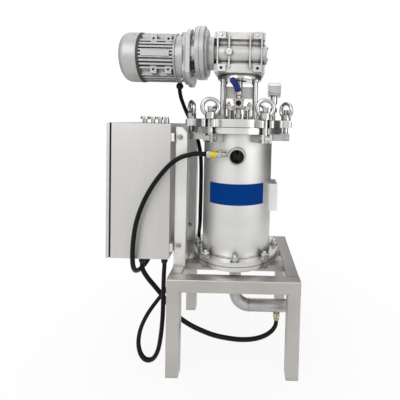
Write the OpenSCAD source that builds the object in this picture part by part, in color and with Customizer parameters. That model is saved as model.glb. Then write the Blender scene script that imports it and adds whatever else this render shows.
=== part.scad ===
// Scraper-type self-cleaning filter: a stainless vessel on a square-tube stand, closed by six swing bolts,
// with a worm drive and motor on top and a control cabinet on two posts at its left side.
// Origin on the vessel's axis at floor level, +X to the right, +Y to the back, +Z up.

/* [Stand] */
// Width of the stand, left to right
stand_w = 464; // [456:1:480]
// Depth of the stand, front to back
stand_d = 408; // [396:1:430]
// Height of the stand
stand_h = 346; // [330:1:370]
// Side of the square tube
tube_w = 45; // [42:1:46]
// Wall of the square tube
tube_wall = 3; // [2:0.5:4]
// Anchor hole in each leg's foot plate
anchor_d = 13; // [11:0.5:15]

/* [Vessel] */
// Outer diameter of the shell
shell_d = 273; // [268:1:276]
// Wall of the shell
shell_wall = 4; // [3:0.5:5]
// Length of the shell over both of its flanges
shell_len = 494; // [470:1:510]
// Reach of the bottom flange and bottom plate beyond the shell
lower_flange_reach = 35; // [33:0.5:38]
// Thickness of the bottom flange and bottom plate
lower_flange_t = 16; // [14:1:18]
// Reach of the flange under the cover beyond the shell
body_flange_reach = 41; // [38:0.5:45]
// Thickness of the flange under the cover
body_flange_t = 22; // [20:1:24]
// Outer diameter of the inlet port
port_d = 60.3; // [56:0.1:64]
// Bore of the inlet port
port_bore = 50; // [46:1:52]
// Outer diameter of the outlet pipe
outlet_d = 48.3; // [45:0.1:50]
// Wall of the outlet pipe
outlet_wall = 2.6; // [2:0.1:3]
// Height of the outlet pipe's axis above the floor
outlet_z = 135; // [130:1:145]

/* [Closure] */
// Thickness of the cover
cover_t = 28; // [26:1:30]
// Diameter of a swing bolt
bolt_d = 20; // [18:1:20]
// Reach of the cover's ears beyond the bolt's axis
ear_overhang = 20; // [12:1:22]
// Outer diameter of an eye nut's ring
eye_d = 72; // [66:1:74]

/* [Drive] */
// Height of the lantern between the cover and the drive flange
lantern_h = 156; // [152:1:168]
// Diameter of the drive shaft
shaft_d = 25; // [22:1:26]
// Width of the worm gearbox
gearbox_w = 186; // [180:1:190]
// Height of the worm gearbox
gearbox_h = 146; // [142:1:150]
// Distance from the drive shaft's axis to the worm's axis
worm_offset = 82; // [80:1:84]
// Outer diameter of the motor over its fins
motor_d = 180; // [175:1:186]
// Length of the finned motor body
motor_len = 134; // [128:1:140]
// Length of the fan cover
fan_cover_len = 68; // [64:1:74]

/* [Cabinet] */
// Depth of the cabinet, door included
cabinet_w = 233; // [222:1:238]
// Width of the cabinet along the door
cabinet_d = 310; // [304:1:312]
// Height of the cabinet
cabinet_h = 500; // [490:1:505]
// Thickness of the door
door_t = 11; // [9:1:13]
// Wall of the cabinet's sheet metal
sheet = 2; // [1.5:0.5:2.5]

/* [Fits] */
// Radial clearance of a running shaft or pin
running_gap = 0.05; // [0.03:0.01:0.08]
// Clearance between parts that move past each other
body_gap = 0.5; // [0.4:0.1:0.8]

/* [Hidden] */

$fn = 48;

// Levels, from the floor up
foot_plate_t = 6;
tube_corner = tube_wall + 1;
pad_t = 14;
gasket_t = 2;
z_plate = stand_h + pad_t;
z_lower_gasket = z_plate + lower_flange_t;
z_shell = z_lower_gasket + gasket_t;
z_shell_top = z_shell + shell_len;
z_body_flange = z_shell_top - body_flange_t;
z_cover = z_shell_top + gasket_t;
z_cover_top = z_cover + cover_t;
z_drive_flange = z_cover_top + lantern_h;
drive_flange_t = 12;
adapter_t = 3;
z_gearbox = z_drive_flange + drive_flange_t + adapter_t;
z_worm = z_gearbox + gearbox_h / 2;
z_gearbox_top = z_gearbox + gearbox_h;

// Vessel
shell_bore = shell_d - 2 * shell_wall;
lower_flange_d = shell_d + 2 * lower_flange_reach;
body_flange_d = shell_d + 2 * body_flange_reach;
lower_bolts = 8;
lower_bolt_r = lower_flange_d / 2 - 15.5;
lower_bolt_d = 16;
port_z = z_shell_top - 102;
port_end = 172;
tap_z = port_z + 6;
tap_y = -156;
tap_x = -42;
elbow_r = 60;
outlet_end = stand_w / 2 + 8;
outlet_tap_x = 175;
outlet_tap_z = outlet_z - outlet_d / 2 - 4;

// Swing bolts
bolt_angles = [-30, 30, -90, 90, -150, 150];
bolt_gap = 4.5;
bolt_circle_r = body_flange_d / 2 + bolt_gap + bolt_d / 2;
pin_d = 16;
pin_z = z_cover_top - 68;
lug_t = 10;
lug_gap = bolt_d + 2;
lug_h = 30;
lug_reach = 13;
slot_w = bolt_d + 2;
prong_w = 20;
nut_lift = 0.4;
nut_base_z = z_cover_top + nut_lift;
eye_wire = 15;
eye_z = nut_base_z + 40;
eye_turn = [36, -34, 30, 38, 20, -20];

// Shaft, screen and scraper
screen_d = 206;
screen_wall = 3;
z_screen = z_shell + 22;
screen_h = shell_len - 44;
blade_gap = 0.8;
hub_d = 50;
packing_d = 44;
stud_x = 42;
stud_d = 10;

// Drive
column_d = 18;
column_x = 64;
column_y = 43;
drive_flange_d = 176;
front_y = -worm_offset - 43;
back_y = 93;
bearing_d = 90;
gearbox_x = 0;
rib_step = 38;
plug_x = gearbox_x - rib_step;
wheel_r = worm_offset - 26;
worm_r = 24;
x_gearbox = gearbox_x - gearbox_w / 2;
stage_len = 107;
x_stage = x_gearbox - stage_len;
stage_flange_t = 13.5;
stage_flange_d = 212;
shield_t = 26;
x_shield = x_stage - shield_t;
motor_drop = 21;
z_motor = z_worm - motor_drop;
motor_shaft_d = 25;
motor_bearing_d = 52;
motor_bearing_t = 10;
x_gears = x_stage + 32;
gear_w = 17;
pinion_r = 0.4 * motor_drop - body_gap / 2;
stage_gear_r = 0.6 * motor_drop - body_gap / 2;
x_motor = x_shield - motor_len;
x_fan = x_motor - fan_cover_len;
rotor_d = 90;
stator_d = motor_d - 35;

// Gauge and vent valve
gauge_at = [121, 45, z_cover_top + 128];
gauge_d = 60;
gauge_t = 49;
valve_y = -88;
valve_z = z_cover_top + 59;
stem_top = 31;
vent_bore = 20;
vent_depth = 16;

// Cabinet
cab_back = -stand_w / 2 - 12;
cab_left = cab_back - cabinet_w;
door_gap = 7;
box_left = cab_left + door_t + door_gap;
cab_rear = stand_d / 2 - 22;
cab_front = cab_rear - cabinet_d;
cab_z = stand_h + 34;
cab_top = cab_z + cabinet_h;
post_x = -stand_w / 2 + tube_w / 2;
post_y = [cab_front + 46, cab_rear - 42];
post_top = cab_top - 11;
rail_z = [cab_z + 42, cab_top - 49];
hinge_pin_d = 6;
hinge_at = [box_left - door_gap, cab_rear + 6];
hinge_z = [cab_z + 70, cab_top - 130];
knuckle_h = 20;
lock_at = [cab_front + 30, cab_z + 250];
lock_d = 20;
gland_y = cab_front + 33;
gland_len = 30;
short_gland = 14;
gland_end = cab_z - gland_len;

// Cords: routes of the two pressure hoses and of the motor's cable, from one end to the other
hose_d = 17;
cable_d = 16;
hose_x = tap_x - 64;
terminal_at = [x_shield - 20, -worm_offset + 100];
terminal_h = 84;
terminal_z = z_motor - 95;
upper_gland = [cab_back - 102, gland_y + 62];
lower_gland = [cab_back - 108, gland_y];
motor_gland = [cab_back - 24, gland_y];
cord_lead = 14;
upper_route = [
  [hose_x, tap_y, tap_z], [hose_x - cord_lead, tap_y, tap_z], [hose_x - 38, -158, tap_z + 1],
  [-166, -162, tap_z - 3], [-196, -164, 764],
  [-228, -164, 743], [-259, -162, 711], [-291, -160, 668], [-319, -158, 620], [-341, -156, 570],
  [-356, -154, 520],
  [-364, -152, 474], [-368, -151, 432], [-370, -147, 392], [-372, -135, 356], [-373, -112, 329],
  [-371, -84, 315], [-363, -58, 316], [-352, -40, 329], [upper_gland[0], upper_gland[1], cab_z - short_gland - 18],
  [upper_gland[0], upper_gland[1], cab_z - short_gland]
];
lower_route = [
  [lower_gland[0], lower_gland[1], gland_end], [lower_gland[0], lower_gland[1], gland_end - cord_lead],
  [-348, -95, 318], [-329, -96, 290], [-300, -97, 257], [-268, -95, 216],
  [-240, -91, 172], [-210, -86, 134], [-172, -80, 103], [-128, -74, 77], [-78, -68, 54], [-24, -60, 37],
  [30, -52, 26],
  [82, -40, 21], [124, -24, 22], [154, -10, 31], [170, -2, 46],
  [outlet_tap_x, 0, outlet_tap_z - 30 - cord_lead], [outlet_tap_x, 0, outlet_tap_z - 30]
];
motor_route = [
  [terminal_at[0], terminal_at[1], terminal_z], [terminal_at[0], terminal_at[1], terminal_z - cord_lead],
  [-243, 28, 990], [-236, 44, 962], [-225, 58, 930], [-210, 64, 896], [-194, 62, 864], [-179, 52, 830],
  [-166, 37, 796], [-156, 25, 752], [-152, 19, 700], [-151, 17, 640], [-151, 17, 580], [-152, 21, 524],
  [-154, 34, 478], [-159, 60, 440], [-165, 86, 408], [-168, 100, 372], [-169, 104, 336], [-173, 102, 304],
  [-186, 92, 276], [-212, 68, 250], [-244, 38, 226], [-280, 4, 194], [-314, -30, 160], [-342, -60, 124],
  [-358, -86, 86], [-357, -112, 52], [-340, -136, 29], [-314, -154, 22], [-286, -164, 34], [-268, -166, 66],
  [-260, -161, 112], [-257, -152, 166], [-258, -142, 214], [-262, -126, 264], [-267, -104, 310],
  [motor_gland[0], motor_gland[1], gland_end - cord_lead], [motor_gland[0], motor_gland[1], gland_end]
];

// Colours
steel = [0.74, 0.74, 0.73];
machined = [0.80, 0.80, 0.79];
paint = [0.70, 0.72, 0.73];
cast = [0.66, 0.67, 0.67];
black = [0.08, 0.08, 0.08];
brass = [0.80, 0.62, 0.25];

// Shared shapes

module rounded_square(w, d, r) {
  square([w - 2 * r, d], center = true);
  square([w, d - 2 * r], center = true);
  for (x = [-1, 1], y = [-1, 1]) translate([x * (w / 2 - r), y * (d / 2 - r)]) circle(r);
}

// Square tube standing on its end
module tube_end(t) {
  linear_extrude(t) rounded_square(tube_w, tube_w, tube_corner);
}

module square_tube(length) {
  linear_extrude(length) difference() {
    rounded_square(tube_w, tube_w, tube_corner);
    rounded_square(tube_w - 2 * tube_wall, tube_w - 2 * tube_wall, tube_corner - tube_wall);
  }
}

module ring(outer, inner, h) {
  difference() {
    cylinder(d = outer, h = h);
    translate([0, 0, -1]) cylinder(d = inner, h = h + 2);
  }
}

module hexagon(across, h) {
  cylinder(d = across / cos(30), h = h, $fn = 6);
}

// Turns what stands along Z so that it lies along X, about the worm's axis
module on_worm_axis(x = 0) {
  translate([x, -worm_offset, z_worm]) rotate([0, 90, 0]) children();
}

// The same about the motor's axis
module on_motor_axis(x = 0) {
  translate([x, -worm_offset, z_motor]) rotate([0, 90, 0]) children();
}

// Places what is drawn towards -Y at an angle around the vessel, counted from the front to the right
module around(angle) {
  rotate([0, 0, angle]) children();
}

// Tube swept along a route's points
function unit(v) = v / norm(v);
function tangent(p, i) = unit(p[min(i + 1, len(p) - 1)] - p[max(i - 1, 0)]);
function flatten_to(n, t) = unit(n - (n * t) * t);
module swept_tube(p, d, sides = 10) {
  last = len(p) - 1;
  t = [for (i = [0:last]) tangent(p, i)];
  start = flatten_to(abs(t[0][2]) > 0.8 ? [1, 0, 0] : [0, 0, 1], t[0]);
  side = [for (i = 0, n = start; i <= last; i = i + 1, n = flatten_to(n, t[min(i, last)])) n];
  points = [
    for (i = [0:last], k = [0:sides - 1])
      p[i] + d / 2 * (cos(360 * k / sides) * side[i] + sin(360 * k / sides) * cross(t[i], side[i]))
  ];
  walls = [
    for (i = [0:last - 1], k = [0:sides - 1])
      let (a = i * sides + k, b = i * sides + (k + 1) % sides) each [[a, b, b + sides], [a, b + sides, a
        + sides]]
  ];
  first_cap = [for (k = [sides - 1:-1:0]) k];
  last_cap = [for (k = [0:sides - 1]) last * sides + k];
  polyhedron(points, concat([first_cap], [for (w = walls) w], [last_cap]));
}

// Stand

module stand_legs() {
  leg_x = stand_w / 2 - tube_w / 2;
  leg_y = stand_d / 2 - tube_w / 2;
  color(steel) for (x = [-1, 1], y = [-1, 1]) translate([x * leg_x, y * leg_y, 0]) {
    square_tube(stand_h - tube_w);
    difference() {
      tube_end(foot_plate_t);
      translate([0, 0, -1]) cylinder(d = anchor_d, h = foot_plate_t + 2);
    }
  }
}

module stand_beams() {
  beam_z = stand_h - tube_w / 2;
  beam_y = stand_d - 2 * tube_w;
  color(steel) {
    for (y = [-1, 1]) translate([-stand_w / 2, y * (stand_d - tube_w) / 2, beam_z]) rotate([0, 90, 0]) {
      square_tube(stand_w);
      for (end = [0, stand_w - tube_wall]) translate([0, 0, end]) tube_end(tube_wall);
    }
    for (x = [-1, 1]) translate([x * (stand_w - tube_w) / 2, beam_y / 2, beam_z]) rotate([90, 0, 0])
      square_tube(beam_y);
  }
}

module support_bars() {
  bar_w = 40;
  bar_h = 24;
  bar_y = 65;
  pad_x = 112;
  length = stand_w - 2 * tube_w;
  color(steel) for (y = [-1, 1]) translate([0, y * bar_y, stand_h]) {
    translate([-length / 2, -bar_w / 2, -bar_h]) cube([length, bar_w, bar_h]);
    for (x = [-1, 1]) translate([x * pad_x, 0, 0]) cylinder(d = bar_w, h = pad_t);
  }
}

module cabinet_posts() {
  height = post_top - stand_h;
  bevel = tube_w / 2;
  color(steel) for (y = post_y) translate([post_x, y, stand_h]) difference() {
    union() {
      square_tube(height - bevel);
      translate([0, 0, height - bevel]) tube_end(bevel);
    }
    translate([0, 0, height]) rotate([0, 45, 0]) translate([0, -tube_w, 0]) cube([tube_w, 2 * tube_w,
      tube_w]);
  }
}

// Vessel

module vessel_shell() {
  color(steel) translate([0, 0, z_shell]) difference() {
    ring(shell_d, shell_bore, shell_len);
    translate([0, 0, port_z - z_shell]) rotate([90, 0, 0]) cylinder(d = port_d, h = shell_d);
  }
}

module body_flange() {
  color(machined) translate([0, 0, z_body_flange]) ring(body_flange_d, shell_d, body_flange_t);
}

module lower_bolt_places() {
  for (i = [0:lower_bolts - 1]) rotate([0, 0, i * 360 / lower_bolts]) translate([0, -lower_bolt_r, 0])
    children();
}

module lower_flange() {
  color(machined) translate([0, 0, z_shell]) difference() {
    ring(lower_flange_d, shell_d, lower_flange_t);
    lower_bolt_places() translate([0, 0, -1]) cylinder(d = lower_bolt_d + 2, h = lower_flange_t + 2);
  }
}

module bottom_plate() {
  color(machined) translate([0, 0, z_plate]) difference() {
    ring(lower_flange_d, outlet_d - 2 * outlet_wall, lower_flange_t);
    lower_bolt_places() translate([0, 0, -1]) cylinder(d = lower_bolt_d + 2, h = lower_flange_t + 2);
  }
}

module flange_bolts() {
  head = 10;
  nut = 9;
  grip = 2 * lower_flange_t + gasket_t;
  color(machined) {
    lower_bolt_places() translate([0, 0, z_plate]) {
      translate([0, 0, -nut - 2]) cylinder(d = lower_bolt_d, h = grip + nut + 3);
      translate([0, 0, -nut]) hexagon(24, nut);
      translate([0, 0, grip]) hexagon(24, head);
    }
    for (x = [-1, 1]) translate([x * stud_x, 0, z_cover_top]) {
      cylinder(d = stud_d, h = 70);
      translate([0, 0, 54]) hexagon(17, 9);
    }
  }
}

module gaskets() {
  packing_h = 7;
  seal_inset = 2;
  seal_w = 12;
  color([0.15, 0.15, 0.14]) {
    translate([0, 0, z_lower_gasket]) ring(2 * lower_bolt_r - 20, shell_bore, gasket_t);
    translate([0, 0, z_shell_top]) ring(body_flange_d - 30, shell_bore, gasket_t);
    for (i = [0:2]) translate([0, 0, z_cover_top + 8 + i * (packing_h + 0.1)])
      ring(packing_d, shaft_d + 2 * running_gap, packing_h);
    translate([box_left - door_gap + body_gap, cab_front + seal_inset, cab_z + seal_inset]) difference() {
      cube([door_gap - body_gap, cabinet_d - 2 * seal_inset, cabinet_h - 2 * seal_inset]);
      translate([-1, seal_w, seal_w])
        cube([door_gap + 1, cabinet_d - 2 * seal_inset - 2 * seal_w, cabinet_h - 2 * seal_inset - 2 *
          seal_w]);
    }
  }
}

module outlet_pipe() {
  bore = outlet_d - 2 * outlet_wall;
  color(steel) difference() {
    union() {
      translate([0, 0, outlet_z + elbow_r]) cylinder(d = outlet_d, h = z_plate - outlet_z - elbow_r);
      translate([elbow_r, 0, outlet_z + elbow_r]) rotate([90, 0, 0]) rotate([0, 0, 180])
        rotate_extrude(angle = 90) translate([elbow_r, 0]) circle(d = outlet_d);
      translate([elbow_r, 0, outlet_z]) rotate([0, 90, 0]) cylinder(d = outlet_d, h = outlet_end - elbow_r);
      translate([outlet_end - 20, 0, outlet_z]) rotate([0, 90, 0]) cylinder(d = outlet_d + 8, h = 20);
      translate([outlet_tap_x, 0, outlet_tap_z]) cylinder(d = 20, h = outlet_d / 2);
    }
    translate([0, 0, outlet_z + elbow_r]) cylinder(d = bore, h = shell_len);
    translate([elbow_r, 0, outlet_z + elbow_r]) rotate([90, 0, 0]) rotate([0, 0, 180])
      rotate_extrude(angle = 90) translate([elbow_r, 0]) circle(d = bore);
    translate([elbow_r, 0, outlet_z]) rotate([0, 90, 0]) cylinder(d = bore, h = stand_w);
    translate([outlet_tap_x, 0, outlet_tap_z - 1]) cylinder(d = 8, h = outlet_d / 2);
  }
}

module inlet_port() {
  inner_end = 128;
  color(machined) difference() {
    union() {
      translate([0, -inner_end, port_z]) rotate([90, 0, 0]) cylinder(d = port_d, h = port_end - inner_end);
      translate([tap_x, tap_y, tap_z]) rotate([0, 90, 0]) cylinder(d = 14, h = -tap_x - port_d / 4);
    }
    translate([0, 0, port_z]) rotate([90, 0, 0]) cylinder(d = port_bore, h = shell_d);
    translate([tap_x - 1, tap_y, tap_z]) rotate([0, 90, 0]) cylinder(d = 8, h = -tap_x);
  }
}

// Two plates and a pin under the body flange for each swing bolt
module swing_lugs() {
  reach = bolt_circle_r + lug_reach;
  pin_len = lug_gap + 2 * lug_t + 8;
  color(steel) for (a = bolt_angles) around(a) {
    for (s = [-1, 1]) difference() {
      translate([s * (lug_gap + lug_t) / 2 - lug_t / 2, -reach, z_body_flange - lug_h]) cube([lug_t,
        reach - 100, lug_h]);
      cylinder(d = shell_d, h = z_cover);
      translate([s * 40, -bolt_circle_r, pin_z]) rotate([0, -s * 90, 0]) cylinder(d = pin_d + 2 *
        running_gap, h = 40);
    }
    translate([-pin_len / 2, -bolt_circle_r, pin_z]) rotate([0, 90, 0]) cylinder(d = pin_d, h = pin_len);
  }
}

module cover_ear() {
  width = slot_w + 2 * prong_w;
  prong_y = -bolt_circle_r - ear_overhang + prong_w / 2;
  difference() {
    linear_extrude(cover_t) difference() {
      union() {
        translate([-width / 2, prong_y]) square([width, -prong_y - 120]);
        for (s = [-1, 1]) translate([s * (slot_w + prong_w) / 2, prong_y]) circle(d = prong_w);
      }
      translate([0, -bolt_circle_r]) circle(d = slot_w);
      translate([-slot_w / 2, -bolt_circle_r - 2 * ear_overhang]) square([slot_w, 2 * ear_overhang]);
    }
    // The land falls away outwards, so that the nut's face clears it as the bolt swings out
    translate([0, -bolt_circle_r - 3, cover_t]) rotate([12, 0, 0]) translate([-width, -width, 0]) cube([2
      * width, width, cover_t]);
  }
}

module cover() {
  color(machined) translate([0, 0, z_cover]) difference() {
    union() {
      cylinder(d = body_flange_d + 1, h = cover_t);
      for (a = bolt_angles) around(a) cover_ear();
    }
    for (a = bolt_angles) around(a) translate([0, -bolt_circle_r, -1]) cylinder(d = slot_w, h = cover_t +
      2);
    translate([0, 0, -1]) cylinder(d = shaft_d + 2 * body_gap, h = cover_t + 2);
    translate([0, valve_y, -1]) cylinder(d = 10, h = cover_t + 2);
    translate([gauge_at[0] + gauge_t / 2, gauge_at[1], -1]) cylinder(d = 6, h = cover_t + 2);
  }
}

module filter_screen() {
  columns = 24;
  rows = 5;
  slot_h = screen_h / rows - 20;
  ring_h = 8;
  color(steel) difference() {
    union() {
      translate([0, 0, z_screen]) ring(screen_d, screen_d - 2 * screen_wall, screen_h);
      for (z = [z_screen, z_screen + screen_h - ring_h]) translate([0, 0, z]) ring(shell_bore, screen_d -
        2 * screen_wall, ring_h);
    }
    for (i = [0:columns / 2 - 1], k = [0:rows - 1]) rotate([0, 0, i * 360 / columns])
      translate([-shell_d / 2, -4, z_screen + 10 + k * screen_h / rows]) cube([shell_d, 8, slot_h]);
  }
}

// Bush for the foot of the shaft on a three-legged spider
module bottom_bearing() {
  bush_z = z_shell + 14;
  bush_h = 24;
  bush_d = 44;
  arm = 120;
  color(steel) difference() {
    union() {
      translate([0, 0, bush_z]) cylinder(d = bush_d, h = bush_h);
      for (i = [0:2]) rotate([0, 0, i * 120]) {
        translate([0, -5, bush_z]) cube([arm - 16, 10, 7]);
        translate([50, -5, z_lower_gasket]) cube([45, 10, bush_z - z_lower_gasket + 7]);
      }
    }
    translate([0, 0, bush_z + 4]) cylinder(d = shaft_d + 2 * running_gap, h = bush_h);
  }
}

// Sheet bracket at the right of the shell for the blank type plate
module nameplate_bracket() {
  width = 100;
  height = 107;
  face_x = shell_d / 2 + 23;
  bracket_z = z_shell + 168;
  color(machined) difference() {
    translate([0, -width / 2, bracket_z]) cube([face_x, width, height]);
    translate([0, -width / 2 + sheet, bracket_z - 1]) cube([face_x - sheet, width - 2 * sheet, height + 2]);
    translate([0, 0, bracket_z - 1]) cylinder(d = shell_d, h = height + 2);
  }
}

// Lantern, shaft seal and drive

module column_places() {
  for (x = [-1, 1], y = [-1, 1]) translate([x * column_x, y * column_y, z_cover_top]) children();
}

// Four columns with their foot nuts, and the guard plate behind the shaft
module lantern() {
  guard_z = 88;
  guard_h = 50;
  color(machined) {
    column_places() {
      cylinder(d = column_d, h = lantern_h);
      hexagon(27, 14);
      translate([0, 0, lantern_h - 8]) cylinder(d = 26, h = 8);
    }
    translate([-column_x, column_y - 1, z_cover_top + guard_z]) cube([2 * column_x, sheet, guard_h]);
  }
}

module drive_flange() {
  color(machined) translate([0, 0, z_drive_flange]) difference() {
    union() {
      cylinder(d = drive_flange_d, h = drive_flange_t);
      translate([0, 0, drive_flange_t]) cylinder(d = drive_flange_d - 16, h = adapter_t);
    }
    translate([0, 0, -1]) cylinder(d = hub_d + 8, h = drive_flange_t + adapter_t + 2);
  }
}

module seal_housing() {
  neck_d = 70;
  neck_h = 38;
  color(machined) translate([0, 0, z_cover_top]) difference() {
    cylinder(d = neck_d, h = neck_h);
    translate([0, 0, 8]) cylinder(d = packing_d, h = neck_h);
    translate([0, 0, -1]) cylinder(d = shaft_d + 2 * body_gap, h = neck_h);
  }
}

module gland_follower() {
  nose_z = 8 + 3 * 7.1;
  plate_z = 41;
  plate_t = 13;
  plate_d = 28;
  color(machined) translate([0, 0, z_cover_top]) difference() {
    union() {
      translate([0, 0, nose_z]) cylinder(d = packing_d - 1, h = plate_z - nose_z + 1);
      translate([0, 0, plate_z]) linear_extrude(plate_t) {
        circle(d = 62);
        for (x = [-1, 1]) translate([x * stud_x, 0]) circle(d = plate_d);
        square([2 * stud_x, plate_d], center = true);
      }
    }
    translate([0, 0, nose_z - 1]) cylinder(d = shaft_d + 2 * body_gap, h = plate_z);
    for (x = [-1, 1]) translate([x * stud_x, 0, plate_z - 1]) cylinder(d = stud_d + 1, h = plate_t + 2);
  }
}

// Cast worm gearbox: two broad plates, a barrel for the worm, a chamber for the wheel, and foot bosses in front
module gearbox_housing() {
  strip_top = 25;
  strip_low = 30;
  barrel_d = 78;
  boss = [31, 27];
  rib_t = 5;
  rib_x = [-0.43 * gearbox_w, -rib_step, rib_step, 0.43 * gearbox_w];
  hole_x = gearbox_w / 2 - 27;
  chamber_h = 80;
  foot_holes = [for (x = [-1, 1], z = [strip_low / 2, gearbox_h - strip_top / 2]) [gearbox_x + x *
    hole_x, z]];
  color(cast) difference() {
    union() {
      for (z = [[0, strip_low], [gearbox_h - strip_top, strip_top]]) translate([0, 0, z_gearbox + z[0]])
        linear_extrude(z[1]) {
        translate([x_gearbox, front_y + 8]) square([gearbox_w, -front_y - 8]);
        circle(r = back_y);
      }
      translate([0, 0, z_gearbox + strip_low - 1]) linear_extrude(gearbox_h - strip_low - strip_top + 2) {
        circle(r = back_y - 8);
        translate([gearbox_x - back_y + 8, front_y + 24]) square([2 * back_y - 16, -front_y - 24]);
      }
      on_worm_axis(x_gearbox) cylinder(d = barrel_d, h = gearbox_w);
      for (h = foot_holes) translate([h[0] - boss[0] / 2, front_y, z_gearbox + h[1] - boss[1] / 2 + 1])
        cube([boss[0], 20, boss[1] - 2]);
      translate([plug_x, front_y, z_worm]) rotate([-90, 0, 0]) cylinder(d = 26, h = 16);
      for (x = rib_x) translate([gearbox_x + x - rib_t / 2, front_y + 1, z_gearbox + strip_low / 2])
        cube([rib_t, 30, gearbox_h - strip_low / 2 - strip_top / 2]);
    }
    translate([0, 0, z_worm - chamber_h / 2]) cylinder(r = wheel_r + 10, h = chamber_h);
    on_worm_axis(x_gearbox - 1) cylinder(r = worm_r + 8, h = gearbox_w + 2);
    translate([0, 0, z_gearbox - 1]) cylinder(d = bearing_d, h = gearbox_h + 2);
    for (h = foot_holes) translate([h[0], front_y - 1, z_gearbox + h[1]]) rotate([-90, 0, 0]) cylinder(d
      = 11, h = 30);
  }
}

// End cap of the worm's bore, the plate over the wheel, and the two oil plugs
module gearbox_caps() {
  color(cast) {
    on_worm_axis(x_gearbox + gearbox_w) cylinder(d = 74, h = 7);
    translate([0, 0, z_gearbox_top]) difference() {
      cylinder(d = bearing_d + 24, h = 7);
      translate([0, 0, -1]) cylinder(d = hub_d + 1, h = 5);
    }
    translate([plug_x, front_y, z_worm]) rotate([90, 0, 0]) {
      cylinder(d = 22, h = 2);
      hexagon(17, 9);
    }
  }
}

// Rolling bearings of the wheel's hub, the worm and the motor's rotor, drawn as plain rings
module bearings() {
  hub_bearing = 20;
  worm_bearing = 14;
  color(machined) {
    for (z = [z_gearbox, z_gearbox_top - hub_bearing]) translate([0, 0, z])
      ring(bearing_d, hub_d + 2 * running_gap, hub_bearing);
    for (x = [x_gearbox, x_gearbox + gearbox_w - worm_bearing]) on_worm_axis(x)
      ring(2 * worm_r + 16, motor_shaft_d + 2 * running_gap, worm_bearing);
    for (x = [x_motor - motor_bearing_t, x_shield]) on_motor_axis(x)
      ring(motor_bearing_d, motor_shaft_d + 2 * running_gap, motor_bearing_t);
  }
}

// Flange with flats at its front and back, drawn along Z
module flat_sided(d, h) {
  intersection() {
    cylinder(d = d, h = h);
    translate([-d, -0.4 * d, -1]) cube([2 * d, 0.8 * d, h + 2]);
  }
}

// Housing of the gear stage: a flange on the motor's axis, a neck, and the discs on the worm's axis
module stage_housing() {
  neck_d = 150;
  neck_end = 45;
  disc_d = 197;
  disc_end = 75;
  step_d = 172;
  step_end = 84;
  nose_d = 122;
  chamber_d = 92;
  chamber_end = 62;
  color(paint) difference() {
    union() {
      on_motor_axis(x_stage + stage_flange_t) flat_sided(stage_flange_d, stage_flange_t);
      translate([0, 0, -motor_drop / 2]) on_worm_axis(x_stage + stage_flange_t) cylinder(d = neck_d, h =
        neck_end - stage_flange_t);
      on_worm_axis(x_stage + neck_end) cylinder(d = disc_d, h = disc_end - neck_end);
      on_worm_axis(x_stage + disc_end) cylinder(d = step_d, h = step_end - disc_end);
      on_worm_axis(x_stage + step_end) cylinder(d = nose_d, h = stage_len - step_end);
    }
    translate([0, 0, -motor_drop / 2]) on_worm_axis(x_stage) cylinder(d = chamber_d, h = chamber_end);
    on_worm_axis(x_stage + stage_flange_t) cylinder(d = 2 * worm_r + 16, h = stage_len);
  }
}

// Motor body with level fins on its sides and upright ones above and below, a long pad and four foot bosses in front
module motor_frame() {
  fin_t = 6;
  fin_pitch = 12;
  side_fins = 4;
  fin_inset = 1.5;
  collar_t = 6;
  core_d = motor_d - 26;
  fin_r = motor_d / 2 - fin_inset;
  pad_w = 20;
  pad_len = 0.74 * motor_len;
  boss = [26, 22];
  boss_x = 0.3 * motor_d;
  boss_z = [0.43 * motor_len, 0.82 * motor_len];
  boss_y = sqrt(fin_r * fin_r - boss_x * boss_x) + 2;
  hole_d = 9;
  color(paint) on_motor_axis(x_motor) difference() {
    union() {
      cylinder(d = core_d, h = motor_len);
      for (i = [-side_fins:side_fins]) {
        reach = sqrt(fin_r * fin_r - pow(abs(i) * fin_pitch + fin_t / 2, 2));
        translate([i * fin_pitch - fin_t / 2, -reach, collar_t / 2]) cube([fin_t, 2 * reach, motor_len -
          collar_t]);
        translate([-reach, i * fin_pitch - fin_t / 2, collar_t / 2]) cube([2 * reach, fin_t, motor_len -
          collar_t]);
      }
      for (i = [0, 1]) translate([0, 0, i * (motor_len - collar_t)]) cylinder(d = motor_d, h = collar_t);
      translate([-pad_w / 2, -motor_d / 2 - 1, (motor_len - pad_len) / 2]) cube([pad_w, 30, pad_len]);
      for (x = [-1, 1], z = boss_z) translate([x * boss_x - boss[0] / 2, -boss_y, z - boss[1] / 2])
        cube([boss[0], 40, boss[1]]);
    }
    translate([0, 0, -1]) cylinder(d = stator_d, h = motor_len + 2);
    for (x = [-1, 1], z = boss_z) translate([x * boss_x, -boss_y - 1, z]) rotate([-90, 0, 0]) cylinder(d
      = hole_d, h = 13);
  }
}

// Drive-end shield with the mounting flange, and the shield at the fan's end
module motor_shields() {
  bore = motor_shaft_d + 7;
  rear_t = 12;
  color(paint) {
    difference() {
      union() {
        on_motor_axis(x_shield) cylinder(d = motor_d - 8, h = shield_t);
        on_motor_axis(x_stage) flat_sided(stage_flange_d - 20, stage_flange_t);
      }
      on_motor_axis(x_shield - 1) cylinder(d = motor_bearing_d, h = motor_bearing_t + 1);
      on_motor_axis(x_shield - 1) cylinder(d = bore, h = 2 * shield_t);
    }
    on_motor_axis(x_motor - rear_t) difference() {
      cylinder(d = stator_d, h = rear_t);
      translate([0, 0, rear_t - motor_bearing_t]) cylinder(d = motor_bearing_d, h = rear_t);
      translate([0, 0, -1]) cylinder(d = motor_shaft_d + 2, h = rear_t + 2);
    }
  }
}

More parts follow.
